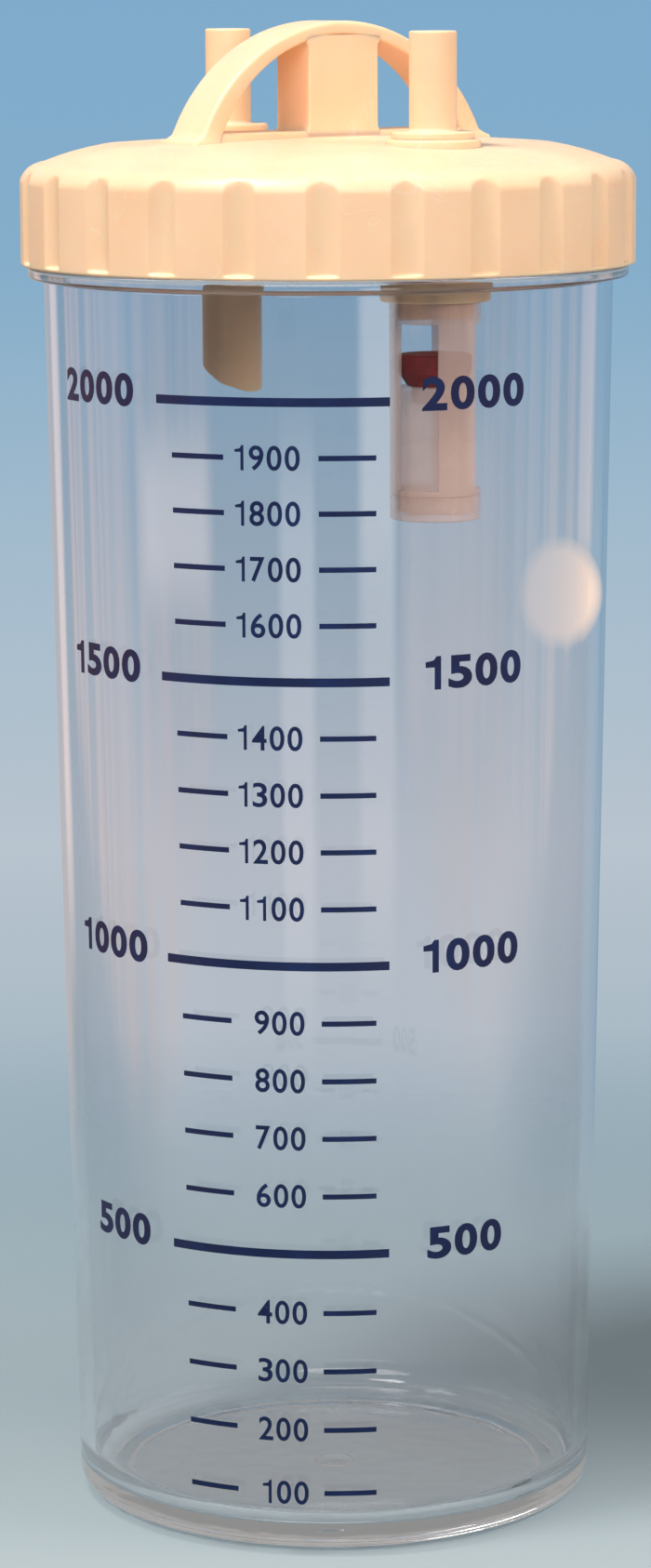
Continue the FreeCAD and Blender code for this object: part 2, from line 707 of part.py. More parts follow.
def make_end_ring(doc, s, level):
    """The ring that closes the cage's foot and carries the float."""
    body = new_body(doc, "cage_end_ring")
    edge = level.pad_bottom - s.collar_bottom
    bottom = edge - s.cage_length
    revolve(body, "end_ring", [
        (s.end_ring_bore, bottom),
        (s.cage_radius, bottom),
        (s.cage_radius, bottom + s.end_ring_height),
        (s.cage_inside, bottom + s.end_ring_height),
        (s.cage_inside, bottom + s.end_ring_lip),
        (s.end_ring_bore, bottom + s.end_ring_lip),
    ])
    return seat(body, s.lid_turn, 0, -s.port_offset)


def float_bottom(s, level):
    return level.pad_bottom - s.collar_bottom - s.cage_length + s.end_ring_lip + s.float_seat_gap


def make_float(doc, s, level):
    """The hollow float, open at its neck for the seal's stem."""
    body = new_body(doc, "float_body")
    bottom = float_bottom(s, level)
    top = bottom + s.float_length
    inside = s.float_radius - s.float_wall
    revolve(body, "float_shell", [
        (0, bottom),
        (s.float_radius, bottom),
        (s.float_radius, top),
        (s.float_neck, top),
        (s.float_neck, top - s.float_wall),
        (inside, top - s.float_wall),
        (inside, bottom + s.float_wall),
        (0, bottom + s.float_wall),
    ])
    dress(body, "Fillet", "float_edges", s.float_rounding, ring_edges((s.float_radius, bottom)))
    return seat(body, s.lid_turn, 0, -s.port_offset)


def make_seal(doc, s, level):
    """The soft plug on the float that closes the valve seat."""
    body = new_body(doc, "float_seal")
    top = float_bottom(s, level) + s.float_length
    revolve(body, "seal", [
        (0, top - s.seal_stem),
        (s.float_neck - s.socket_fit, top - s.seal_stem),
        (s.float_neck - s.socket_fit, top),
        (s.seal_foot_radius, top),
        (s.seal_radius, top + s.seal_taper_height),
        (s.seal_radius, top + s.seal_height),
        (0, top + s.seal_height),
    ])
    return seat(body, s.lid_turn, 0, -s.port_offset)


def main():
    os.makedirs("parts", exist_ok=True)
    doc = FreeCAD.newDocument("suction_canister")
    s = make_sheet(doc)
    add_mating_sizes(s)
    level = lid_levels(s)
    made = [
        make_jar(doc, s),
        make_lid(doc, s, level),
        make_handle(doc, s, level),
        make_gasket(doc, s, level),
        make_port(doc, s, level, "inlet_port", 1),
        make_port(doc, s, level, "vacuum_port", -1),
        make_sealing_ring(doc, s, level, "inlet_port_seal", 1),
        make_sealing_ring(doc, s, level, "vacuum_port_seal", -1),
        make_deflector(doc, s, level),
        make_collar(doc, s, level),
        make_cage(doc, s, level),
        make_end_ring(doc, s, level),
        make_float(doc, s, level),
        make_seal(doc, s, level),
    ]
    doc.recompute()
    for thing in doc.Objects:
        if "Invalid" in thing.State or "Error" in thing.State:
            raise RuntimeError(f"{thing.Label} did not compute: {thing.State}")
    for thing in made:
        if thing.Shape.isNull() or not thing.Shape.isValid():
            raise RuntimeError(f"{thing.Label} has no valid shape")
    for thing in made:
        thing.Shape.exportStep(f"parts/{thing.Label}.step")
        print(thing.Label, len(thing.Shape.Solids), "solid", round(thing.Shape.Volume / 1000, 2), "cm3")


main()
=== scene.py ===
"""The looks of a reusable suction canister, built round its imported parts.

Metres, +Z up, and the printed scale faces -Y. Shapes are worked out in millimetres and scaled by MM.
"""

import math

import bmesh
import bpy
import numpy as np
from mathutils import Matrix, Vector


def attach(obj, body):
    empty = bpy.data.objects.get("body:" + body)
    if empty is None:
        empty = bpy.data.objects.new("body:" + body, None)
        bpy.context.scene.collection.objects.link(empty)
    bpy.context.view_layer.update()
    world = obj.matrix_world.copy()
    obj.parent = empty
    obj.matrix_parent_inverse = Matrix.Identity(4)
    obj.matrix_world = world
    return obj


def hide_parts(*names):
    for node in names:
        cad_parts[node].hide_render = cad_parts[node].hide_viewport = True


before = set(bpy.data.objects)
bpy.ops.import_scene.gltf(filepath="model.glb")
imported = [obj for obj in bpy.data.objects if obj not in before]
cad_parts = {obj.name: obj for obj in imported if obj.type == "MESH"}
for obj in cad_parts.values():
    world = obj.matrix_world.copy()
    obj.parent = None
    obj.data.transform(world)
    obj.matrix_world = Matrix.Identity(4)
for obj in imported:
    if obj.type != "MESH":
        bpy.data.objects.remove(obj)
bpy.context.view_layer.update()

MM = 0.001

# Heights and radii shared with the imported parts, in millimetres
JAR_TOP = 272.0
FLANGE_BOTTOM = 253.9
FLANGE_TOP = 256.2
FLANGE_RADIUS = 61.0
NECK_RADIUS = 57.2
NECK_BORE = 54.2
WALL_BASE = 53.5
WALL_TOP = 57.8
WALL = 3.0
FLOOR_TOP = 5.2
SKIRT_BOTTOM = 256.5
SKIRT_RADIUS = 62.4
SKIRT_INSIDE = 60.0
LID_SEAT = 274.0
DOME_TOP = 282.1
DOME_CAP = 662.05
DOME_BREAK = 46.0
LID_WALL = 2.4
LID_TURN = math.radians(34.5)
PORT_OFFSET = 36.5
PAD_TOP = 282.3
PAD_BOTTOM = 277.7
CAGE_END = 207.7
COLLAR_EDGE = 250.7
FLOAT_BOTTOM = 209.5
FLOAT_TOP = 234.1


# Shapes

def arc(start, end, radius, turn, steps):
    """Corners along the shorter arc between two points of a profile, ends included.

    A point is centre + radius * (cos a, sin a), with a running evenly; turn is 1 for counter-clockwise.
    """
    start, end = np.array(start, float), np.array(end, float)
    chord = end - start
    length = np.hypot(*chord)
    side = np.array([-chord[1], chord[0]]) / length
    centre = (start + end) / 2 + side * turn * math.sqrt(radius * radius - length * length / 4)
    first = math.atan2(*(start - centre)[::-1])
    last = math.atan2(*(end - centre)[::-1])
    sweep = (last - first + math.pi) % (2 * math.pi) - math.pi
    angle = first + sweep * np.linspace(0, 1, steps)
    return [(x, z, 0) for x, z in zip(centre[0] + radius * np.cos(angle), centre[1] + radius * np.sin(angle))]


def rounded(corners, closed=True, guard=0.35, long_run=5.0, facet=11.0):
    """A profile with its corners rounded. A corner is (radius from the axis, height, rounding).

    The rounding's centre lies at corner + (u + v) / |u + v| * rounding / sin(half angle), where u and v point
    to the neighbours. A long straight run gets a guard point near each end, which keeps its shading flat.
    """
    runs = []
    count = len(corners)
    for index, (x, z, rounding) in enumerate(corners):
        here = np.array([x, z], float)
        if rounding == 0 or (not closed and index in (0, count - 1)):
            runs.append(here[None, :])
            continue
        before = np.array(corners[index - 1][:2], float) - here
        after = np.array(corners[(index + 1) % count][:2], float) - here
        u, v = before / np.hypot(*before), after / np.hypot(*after)
        half = math.acos(np.clip(u @ v, -1, 1)) / 2
        middle = (u + v) / np.hypot(*(u + v))
        centre = here + middle * rounding / math.sin(half)
        first = (here + u * rounding / math.tan(half) - centre) / rounding
        last = (here + v * rounding / math.tan(half) - centre) / rounding
        sweep = math.pi - 2 * half
        steps = max(3, int(math.degrees(sweep) / facet) + 2)
        share = np.linspace(0, 1, steps)[:, None]
        spread = (np.sin((1 - share) * sweep) * first + np.sin(share * sweep) * last) / math.sin(sweep)
        runs.append(centre + rounding * spread)
    points = []
    for index, run in enumerate(runs):
        points.append(run)
        if not closed and index == count - 1:
            break
        gap = runs[(index + 1) % count][0] - run[-1]
        length = np.hypot(*gap)
        if length > long_run:
            points.append(np.array([run[-1] + gap * guard / length, run[-1] + gap * (1 - guard / length)]))
    return np.concatenate(points)


def grid_faces(rows, columns, wrap_rows, wrap_columns=True, start=0):
    """Quads between neighbours of a grid that is numbered row by row from start."""
    row = np.arange(rows if wrap_rows else rows - 1)[:, None]
    column = np.arange(columns if wrap_columns else columns - 1)[None, :]
    down, right = (row + 1) % rows, (column + 1) % columns
    corners = (row * columns + column, row * columns + right, down * columns + right, down * columns + column)
    return start + np.stack(corners, -1).reshape(-1, 4)


def turned(profile, angles=128, centre=(0.0, 0.0), shape=None):
    """Turns a profile about a vertical axis: x = r cos t, y = r sin t, and z is the height.

    angles is a count of even steps or the angles themselves. shape(r, z, t) may give r and z that change with
    the angle. A profile that starts and ends on the axis is closed there by single points.
    """
    angle = np.linspace(0, 2 * math.pi, angles, endpoint=False) if isinstance(angles, int) else angles
    on_axis = profile[0, 0] == 0
    inner = profile[1:-1] if on_axis else profile
    r = np.repeat(inner[:, :1], len(angle), 1)
    z = np.repeat(inner[:, 1:], len(angle), 1)
    if shape is not None:
        r, z = shape(r, z, angle[None, :])
    points = np.stack([centre[0] + r * np.cos(angle), centre[1] + r * np.sin(angle), z], -1).reshape(-1, 3)
    quads = grid_faces(len(inner), len(angle), not on_axis)
    if not on_axis:
        return points, quads.tolist()
    poles = [(centre[0], centre[1], profile[0, 1]), (centre[0], centre[1], profile[-1, 1])]
    step = np.arange(len(angle))
    following = (step + 1) % len(angle)
    last = len(points) - len(angle)
    low = np.stack([np.full_like(step, len(points)), following, step], -1)
    high = np.stack([last + step, last + following, np.full_like(step, len(points) + 1)], -1)
    return np.concatenate([points, poles]), quads.tolist() + low.tolist() + high.tolist()


def turned_with_lid(points):
    """Turns points about the jar's axis by the lid's angle: (x cos a - y sin a, x sin a + y cos a, z)."""
    x, y, z = np.moveaxis(points, -1, 0)
    return np.stack([
        x * math.cos(LID_TURN) - y * math.sin(LID_TURN),
        x * math.sin(LID_TURN) + y * math.cos(LID_TURN),
        z,
    ], -1)


def port_centre(side):
    """Where a port's axis stands: side is 1 for the inlet and -1 for the vacuum port."""
    return tuple(turned_with_lid(np.array([0.0, PORT_OFFSET * side, 0.0]))[:2])


def smooth(value):
    """0 below 0, 1 above 1 and 3v^2 - 2v^3 between."""
    value = np.clip(value, 0, 1)
    return value * value * (3 - 2 * value)


def soft_lower(first, second, width):
    """The lower of two values, with the corner between them rounded over a width."""
    near = np.maximum(width - np.abs(first - second), 0)
    return np.minimum(first, second) - near * near / (4 * width)


def add_piece(name, parts, body, material, replaces=(), sharp=35.0):
    """One object from (points, faces) parts in millimetres, smooth but for edges sharper than an angle."""
    points, faces, start = [], [], 0
    for part_points, part_faces in parts:
        points.append(np.asarray(part_points, float))
        faces += [[start + corner for corner in face] for face in part_faces]
        start += len(part_points)
    mesh = bpy.data.meshes.new(name)
    mesh.from_pydata((np.concatenate(points) * MM).tolist(), [], faces)
    mesh.shade_smooth()
    mesh.set_sharp_from_angle(angle=math.radians(sharp))
    mesh.materials.append(material)
    piece = bpy.data.objects.new(name, mesh)
    bpy.context.scene.collection.objects.link(piece)
    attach(piece, body)
    if replaces:
        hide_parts(*replaces)
    return piece


# Materials

class Tree:
    """Adds nodes to a shader tree. An input given as a socket is linked, and any other value is set."""

    def __init__(self, tree):
        self.tree = tree

    def add(self, kind, inputs=None, **settings):
        """A new node of a kind, with its settings and inputs."""
        node = self.tree.nodes.new("ShaderNode" + kind)
        for key, value in settings.items():
            setattr(node, key, value)
        for key, value in (inputs or {}).items():
            self.feed(node.inputs[key], value)
        return node

    def feed(self, socket, value):
        """Gives a socket a link or a value."""
        if isinstance(value, bpy.types.NodeSocket):
            self.tree.links.new(value, socket)
        else:
            socket.default_value = value

    def math(self, operation, first, second=0.0):
        """One operation on two values."""
        return self.add("Math", {0: first, 1: second}, operation=operation).outputs[0]

    def ramp(self, value, low, high, out_low=0.0, out_high=1.0):
        """A straight ramp from one range to another, level beyond its ends."""
        inputs = {"Value": value, "From Min": low, "From Max": high, "To Min": out_low, "To Max": out_high}
        return self.add("MapRange", inputs).outputs["Result"]

    def mix(self, share, first, second):
        """The first colour at a share of 0 and the second at 1."""
        node = self.add("Mix", data_type="RGBA")
        for name, kind, value in (("Factor", "VALUE", share), ("A", "RGBA", first), ("B", "RGBA", second)):
            self.feed([s for s in node.inputs if s.name == name and s.type == kind][0], value)
        return [s for s in node.outputs if s.type == "RGBA"][0]


def new_group(name, inputs, outputs):
    """An empty node group with float inputs (name, default) and float outputs."""
    group = bpy.data.node_groups.new(name, "ShaderNodeTree")
    for label, default in inputs:
        socket = group.interface.new_socket(label, in_out="INPUT", socket_type="NodeSocketFloat")
        socket.default_value = default
    for label in outputs:
        group.interface.new_socket(label, in_out="OUTPUT", socket_type="NodeSocketFloat")
    tree = Tree(group)
    return group, tree, group.nodes.new("NodeGroupInput").outputs, group.nodes.new("NodeGroupOutput").inputs


def moulded_grain():
    """Fine grain of a moulded surface, its slow mottling, and the dust that settles on what faces up."""
    group, tree, given, result = new_group(
        "moulded_grain", [("Grain Scale", 2500.0), ("Mottle Scale", 60.0)], ["Grain", "Mottle", "Dust"])
    place = tree.add("TexCoord").outputs["Object"]
    grain = tree.add("TexNoise", {"Vector": place, "Scale": given["Grain Scale"], "Detail": 2.0})
    mottle = tree.add("TexNoise", {"Vector": place, "Scale": given["Mottle Scale"], "Detail": 4.0})
    specks = tree.add("TexNoise", {"Vector": place, "Scale": 900.0, "Detail": 3.0})
    facing = tree.add("SeparateXYZ", {0: tree.add("NewGeometry").outputs["Normal"]}).outputs["Z"]
    settled = tree.ramp(facing, 0.6, 1.0)
    tree.feed(result["Grain"], grain.outputs[0])
    tree.feed(result["Mottle"], mottle.outputs[0])
    specks = tree.ramp(specks.outputs[0], 0.52, 0.66)
    tree.feed(result["Dust"], tree.math("MULTIPLY", settled, specks))
    return group


def handling_marks():
    """Thin curved rub marks, where a stretched noise passes its middle value."""
    group, tree, given, result = new_group("handling_marks", [("Scale", 90.0), ("Width", 0.012)], ["Marks"])
    place = tree.add("TexCoord").outputs["Object"]
    bent = tree.add("TexNoise", {"Vector": place, "Scale": given["Scale"], "Detail": 1.0, "Distortion": 1.6})
    away = tree.math("ABSOLUTE", tree.math("SUBTRACT", bent.outputs[0], 0.5))
    line = tree.math("SUBTRACT", 1.0, tree.ramp(tree.math("DIVIDE", away, given["Width"]), 0.0, 1.0))
    patch = tree.add("TexNoise", {"Vector": place, "Scale": 35.0, "Detail": 2.0})
    tree.feed(result["Marks"], tree.math("MULTIPLY", line, tree.ramp(patch.outputs[0], 0.5, 0.62)))
    return group


def moulding_flow():
    """Upright ripples that clear plastic keeps from its mould, slow along Z and quick round the wall."""
    group, tree, given, result = new_group("moulding_flow", [("Scale", 1.0)], ["Height"])
    place = tree.add("TexCoord").outputs["Object"]
    stretch = tree.add("Mapping", {"Vector": place, "Scale": (110.0, 110.0, 7.0)}).outputs[0]
    ripple = tree.add("TexNoise", {"Vector": stretch, "Scale": given["Scale"], "Detail": 1.5})
    tree.feed(result["Height"], ripple.outputs[0])
    return group


GRAIN = moulded_grain()
MARKS = handling_marks()
FLOW = moulding_flow()


def new_material(name):
    """An empty material with its tree and output, named for its finish."""
    material = bpy.data.materials.new(name)
    material.use_nodes = True
    material.node_tree.nodes.clear()
    tree = Tree(material.node_tree)
    return material, tree, tree.add("OutputMaterial").inputs["Surface"]


def use_group(tree, group, **inputs):
    """Places a group with its own values, named with underscores for spaces."""
    node = tree.add("Group", node_tree=group)
    for key, value in inputs.items():
        node.inputs[key.replace("_", " ")].default_value = value
    return node.outputs


def moulded_plastic(name, colour, deep, roughness, subsurface=0.0):
    """Satin moulded plastic: mottled colour, fine grain, rub marks and a little dust on top."""
    material, tree, surface = new_material(name)
    grain = use_group(tree, GRAIN)
    marks = use_group(tree, MARKS)["Marks"]
    tone = tree.mix(tree.ramp(grain["Mottle"], 0.3, 0.7), deep, colour)
    tone = tree.mix(tree.math("MULTIPLY", marks, 0.25), tone, (1.0, 0.93, 0.84, 1.0))
    tone = tree.mix(tree.math("MULTIPLY", grain["Dust"], 0.12), tone, (0.86, 0.84, 0.80, 1.0))
    gloss = tree.ramp(grain["Mottle"], 0.25, 0.75, roughness - 0.05, roughness + 0.06)
    gloss = tree.math("ADD", gloss, tree.math("MULTIPLY", marks, 0.12))
    bump = tree.add("Bump", {"Height": grain["Grain"], "Strength": 0.12, "Distance": 0.00012})
    shader = tree.add("BsdfPrincipled", {
        "Base Color": tone, "Roughness": gloss, "Normal": bump.outputs[0], "IOR": 1.49,
        "Subsurface Weight": subsurface, "Subsurface Radius": (1.0, 0.45, 0.22), "Subsurface Scale": 0.003,
    })
    tree.feed(surface, shader.outputs[0])
    return material


def soft_rubber(name, colour, worn):
    """Matt rubber with a fine grain, paler where it is rubbed."""
    material, tree, surface = new_material(name)
    grain = use_group(tree, GRAIN, Grain_Scale=1600.0, Mottle_Scale=220.0)
    marks = use_group(tree, MARKS, Scale=260.0)["Marks"]
    tone = tree.mix(tree.ramp(grain["Mottle"], 0.35, 0.7), colour, worn)
    tone = tree.mix(tree.math("MULTIPLY", marks, 0.3), tone, worn)
    gloss = tree.ramp(grain["Mottle"], 0.2, 0.8, 0.42, 0.6)
    bump = tree.add("Bump", {"Height": grain["Grain"], "Strength": 0.2, "Distance": 0.0001})
    shader = tree.add("BsdfPrincipled", {
        "Base Color": tone, "Roughness": gloss, "Normal": bump.outputs[0], "Specular IOR Level": 0.25,
    })
    tree.feed(surface, shader.outputs[0])
    return material


# Light that has been mirrored inside a clear wall more often than this goes straight on
MIRRORED_OFTEN = 2.5


def clear_plastic(name, tint, shade, ior, ripple, haze):
    """Clear plastic that bends what is behind it. Lamps shine through it, dimmed by shade at each face."""
    material, tree, surface = new_material(name)
    flow = use_group(tree, FLOW)["Height"]
    marks = use_group(tree, MARKS, Scale=55.0, Width=0.006)["Marks"]
    mottle = use_group(tree, GRAIN, Mottle_Scale=25.0)["Mottle"]
    gloss = tree.math("ADD", tree.ramp(mottle, 0.35, 0.75, 0.0, haze), tree.math("MULTIPLY", marks, haze * 2))
    bump = tree.add("Bump", {"Height": flow, "Strength": ripple, "Distance": 0.0006})
    glass = tree.add("BsdfPrincipled", {
        "Base Color": tint, "Roughness": gloss, "Normal": bump.outputs[0], "IOR": ior,
        "Transmission Weight": 1.0,
    })
    path = tree.add("LightPath").outputs
    passed = tree.math("MAXIMUM", path["Is Shadow Ray"], path["Is Diffuse Ray"])
    passed = tree.math("MAXIMUM", passed, tree.math("GREATER_THAN", path["Glossy Depth"], MIRRORED_OFTEN))
    through = tree.add("BsdfTransparent", {"Color": shade})
    both = tree.add("MixShader", {0: passed, 1: glass.outputs[0], 2: through.outputs[0]})
    tree.feed(surface, both.outputs[0])
    return material


def milky_plastic(name, colour, alpha, roughness):
    """Thin translucent plastic, which lets part of what is behind it show."""
    material, tree, surface = new_material(name)
    grain = use_group(tree, GRAIN, Mottle_Scale=150.0)
    marks = use_group(tree, MARKS, Scale=200.0)["Marks"]
    tone = tree.mix(tree.math("MULTIPLY", marks, 0.3), colour, (1.0, 1.0, 1.0, 1.0))
    gloss = tree.ramp(grain["Mottle"], 0.25, 0.75, roughness - 0.08, roughness + 0.08)
    shader = tree.add("BsdfPrincipled", {"Base Color": tone, "Roughness": gloss, "Alpha": alpha})
    tree.feed(surface, shader.outputs[0])
    return material


def printed_ink(name, colour, thin):
    """Screen ink: nearly even, a little thinner in patches."""
    material, tree, surface = new_material(name)
    grain = use_group(tree, GRAIN, Grain_Scale=3000.0, Mottle_Scale=170.0)
    tone = tree.mix(tree.ramp(grain["Mottle"], 0.45, 0.75), colour, thin)
    gloss = tree.ramp(grain["Mottle"], 0.2, 0.8, 0.3, 0.45)
    bump = tree.add("Bump", {"Height": grain["Grain"], "Strength": 0.1, "Distance": 0.00003})
    shader = tree.add("BsdfPrincipled", {
        "Base Color": tone, "Roughness": gloss, "Normal": bump.outputs[0], "Specular IOR Level": 0.25,
    })
    tree.feed(surface, shader.outputs[0])
    return material


LID_PLASTIC = moulded_plastic(
    "peach_plastic", (0.94, 0.64, 0.42, 1), (0.90, 0.59, 0.37, 1), roughness=0.40, subsurface=0.45)
# The jar's slight pink tint is painted light: it warms what is seen through the wall, in place of the warm
# haze of the wall's reflections
JAR_PLASTIC = clear_plastic(
    "clear_jar_plastic", (0.948, 0.932, 0.943, 1), (0.86, 0.87, 0.88, 1), ior=1.54, ripple=0.14, haze=0.03)
CAGE_PLASTIC = milky_plastic("cage_plastic", (1.0, 0.72, 0.62, 1), alpha=0.42, roughness=0.25)
FLOAT_PLASTIC = milky_plastic("float_plastic", (1.0, 0.84, 0.80, 1), alpha=0.40, roughness=0.30)
SEAL_RUBBER = soft_rubber("red_seal_rubber", (0.17, 0.002, 0.002, 1), (0.26, 0.008, 0.006, 1))
GASKET_RUBBER = soft_rubber("gasket_rubber", (0.42, 0.40, 0.37, 1), (0.52, 0.50, 0.46, 1))
INK = printed_ink("navy_ink", (0.002, 0.010, 0.055, 1), (0.004, 0.018, 0.085, 1))


# The screw thread on the neck and in the skirt
THREAD_PITCH = 6.0
THREAD_DEPTH = 1.3
THREAD_HALF_WIDTH = 1.5
THREAD_FLANK = 0.8
THREAD_RUN_OUT = 1.6
THREAD_FIRST = 257.6
THREAD_LAST = 270.6
NECK_THREAD_START = 260.0
SKIRT_THREAD_START = 263.0
ON_RADIUS = 0.01

# The jar's foot and floor
GATE_RADIUS = 4.0
GATE_BOTTOM = 0.9
RECESS = 1.6
FOOT_RING = 43.2
WALL_ROUNDING = 5.5
FLOOR_ROUNDING = 6.5
RIM_ROUNDING = 0.8


def thread_ridge(r, z, angle, radius, start):
    """Height of a thread's ridge on a surface of a radius, and 0 off that surface.

    The ridge is a rounded hump where (z - start) / pitch - angle / 2 pi is a whole number, and it runs out
    at its first and last height.
    """
    turns = (z - start) / THREAD_PITCH - angle / (2 * math.pi)
    away = np.abs((turns + 0.5) % 1 - 0.5) * THREAD_PITCH
    hump = smooth((THREAD_HALF_WIDTH - away) / THREAD_FLANK)
    ends = smooth((z - THREAD_FIRST) / THREAD_RUN_OUT) * smooth((THREAD_LAST - z) / THREAD_RUN_OUT)
    threaded = (np.abs(r - radius) < ON_RADIUS) & (z > THREAD_FIRST) & (z < THREAD_LAST)
    return np.where(threaded, THREAD_DEPTH * hump * ends, 0)


def thread_rows(radius, step):
    """Profile corners up or down a threaded surface, close enough together to carry the ridge."""
    first, last = (THREAD_FIRST, THREAD_LAST + 0.1) if step > 0 else (THREAD_LAST, THREAD_FIRST - 0.1)
    return [(radius, z, 0) for z in np.arange(first, last, step)]


def wall_radius(z):
    """Outside of the tapered wall at a height."""
    return WALL_BASE + (WALL_TOP - WALL_BASE) * z / FLANGE_BOTTOM


def jar_shape(r, z, angle):
    """Raises the thread on the neck: r plus the ridge's height."""
    return r + thread_ridge(r, z, angle, NECK_RADIUS, NECK_THREAD_START), z


def make_jar():
    """The jar's section turned about its axis, with the screw thread raised on its neck."""
    profile = rounded([
        (0, GATE_BOTTOM, 0), (GATE_RADIUS, GATE_BOTTOM, 0.3), (GATE_RADIUS, RECESS, 0.3),
        (FOOT_RING, RECESS, 0.6), (FOOT_RING, 0, 0.6), (WALL_BASE, 0, WALL_ROUNDING),
        (WALL_TOP, FLANGE_BOTTOM, 0.5), (FLANGE_RADIUS, FLANGE_BOTTOM, RIM_ROUNDING),
        (FLANGE_RADIUS, FLANGE_TOP, RIM_ROUNDING), (NECK_RADIUS, FLANGE_TOP, RIM_ROUNDING),
        *thread_rows(NECK_RADIUS, 0.35),
        (NECK_RADIUS, JAR_TOP, RIM_ROUNDING), (NECK_BORE, JAR_TOP, RIM_ROUNDING),
        (NECK_BORE, FLANGE_BOTTOM, 0), (WALL_BASE - WALL, FLOOR_TOP, FLOOR_ROUNDING), (0, FLOOR_TOP, 0),
    ], closed=False)
    part = turned(profile, 256, shape=jar_shape)
    return add_piece("jar_moulding", [part], "jar", JAR_PLASTIC, ["jar"])


# The printed scale. Angles are in degrees from straight ahead, and positive to the right.
# A line is its first angle, its last angle and its thickness.
MARK_HEIGHTS = {
    2000: 233.0, 1900: 222.2, 1800: 211.4, 1700: 200.5, 1600: 189.5, 1500: 178.4, 1400: 167.3, 1300: 156.0,
    1200: 144.7, 1100: 133.3, 1000: 121.8, 900: 110.3, 800: 98.6, 700: 86.9, 600: 75.1, 500: 63.2, 400: 51.1,
    300: 39.0, 200: 26.8, 100: 13.6,
}
LONG_LINE = (-35.8, 11.8, 1.75)
LEFT_TICK = (-32.3, -21.0, 1.05)
RIGHT_TICK = (-2.1, 9.1, 1.05)
INK_LOW = 0.01
INK_HIGH = 0.07


def on_wall(across, height, lift):
    """Lays flat artwork on the wall: the angle is across / r, and r is the wall's radius plus the lift."""
    r = wall_radius(height)
    angle = across / r - math.pi / 2
    return np.stack([(r + lift) * np.cos(angle), (r + lift) * np.sin(angle), height], -1)


def printed_line(first, last, thickness, height):
    """A bar along the wall, as a closed strip: four edges carried round from the first to the last angle."""
    steps = 30
    across = np.radians(np.linspace(first, last, steps))[:, None] * wall_radius(height)
    half = thickness / 2
    up = height + np.array([-half, half, half, -half])[None, :]
    lift = np.array([INK_LOW, INK_LOW, INK_HIGH, INK_HIGH])[None, :]
    points = on_wall(across + 0 * up, up + 0 * across, lift + 0 * across).reshape(-1, 3)
    faces = grid_faces(steps, 4, False)[:, ::-1].tolist()
    end = 4 * steps - 1
    return points, faces + [[0, 1, 2, 3], [end, end - 1, end - 2, end - 3]]


def bold_one(stem, width, height):
    """The digit 1 as a flat solid: an upright stem with a flag on its left, in shares of width and height."""
    left = width - stem
    flag = 0.83 * height
    edge = np.array([
        (left, 0), (width, 0), (width, height), (left + 0.3 * stem, height),
        (left - 0.15 * stem, 0.88 * height), (0, flag), (0, flag - 0.8 * stem), (left, flag - 0.8 * stem),
    ])
    count = len(edge)
    points = np.concatenate([np.c_[edge, np.full(count, side)] for side in (-0.5, 0.5)])
    around = [[n, (n + 1) % count, (n + 1) % count + count, n + count] for n in range(count)]
    return points, around + [list(range(count - 1, -1, -1)), list(range(count, 2 * count))]


def mesh_points(mesh):
    """A mesh's points as an array."""
    points = np.empty(len(mesh.vertices) * 3)
    mesh.vertices.foreach_get("co", points)
    return points.reshape(-1, 3)


def digit_mesh(digit, weight, width, height):
    """One digit as a flat solid of a width and height, which stands on the line and starts at 0.

    It is cut upright into four, so that it bends with the wall, and its points become
    (point - lowest) / (highest - lowest) of the digit's own box.
    """
    curve = bpy.data.curves.new("digit", "FONT")
    curve.body = digit
    curve.extrude = 0.01
    curve.offset = weight
    curve.resolution_u = 5
    writing = bpy.data.objects.new("digit", curve)
    bpy.context.scene.collection.objects.link(writing)
    flat = bpy.data.meshes.new_from_object(writing.evaluated_get(bpy.context.evaluated_depsgraph_get()))
    bpy.data.objects.remove(writing)
    across = mesh_points(flat)[:, 0]
    shape = bmesh.new()
    shape.from_mesh(flat)
    bmesh.ops.remove_doubles(shape, verts=shape.verts, dist=1e-5)
    for cut in np.linspace(across.min(), across.max(), 5)[1:-1]:
        everything = shape.verts[:] + shape.edges[:] + shape.faces[:]
        bmesh.ops.bisect_plane(shape, geom=everything, plane_co=(cut, 0, 0), plane_no=(1, 0, 0))
    shape.to_mesh(flat)
    shape.free()
    points = mesh_points(flat)
    faces = [list(face.vertices) for face in flat.polygons]
    bpy.data.meshes.remove(flat)
    low, high = points.min(0), points.max(0)
    points = (points - low) / (high - low) - [0, 0, 0.5]
    return points * [width, height, 1.0], faces


# Advance, width, height, stem, weight and foot below the mark, in millimetres but for the weight
SMALL_TYPE = (3.55, 2.95, 4.9, 0.62, 0.014, 2.45)
LARGE_TYPE = (6.0, 5.25, 6.6, 1.35, 0.036, 2.0)

# The digit 1 is narrower than the others and stands a little inside its cell, in shares of their width
ONE_WIDTH = 0.62
ONE_INSET = 0.22

# Middles of the numbers of four digits and of three
LEFT_LARGE = (-53.3, -51.4)
RIGHT_LARGE = (29.8, 29.2)
SMALL = (-12.5, -10.8)


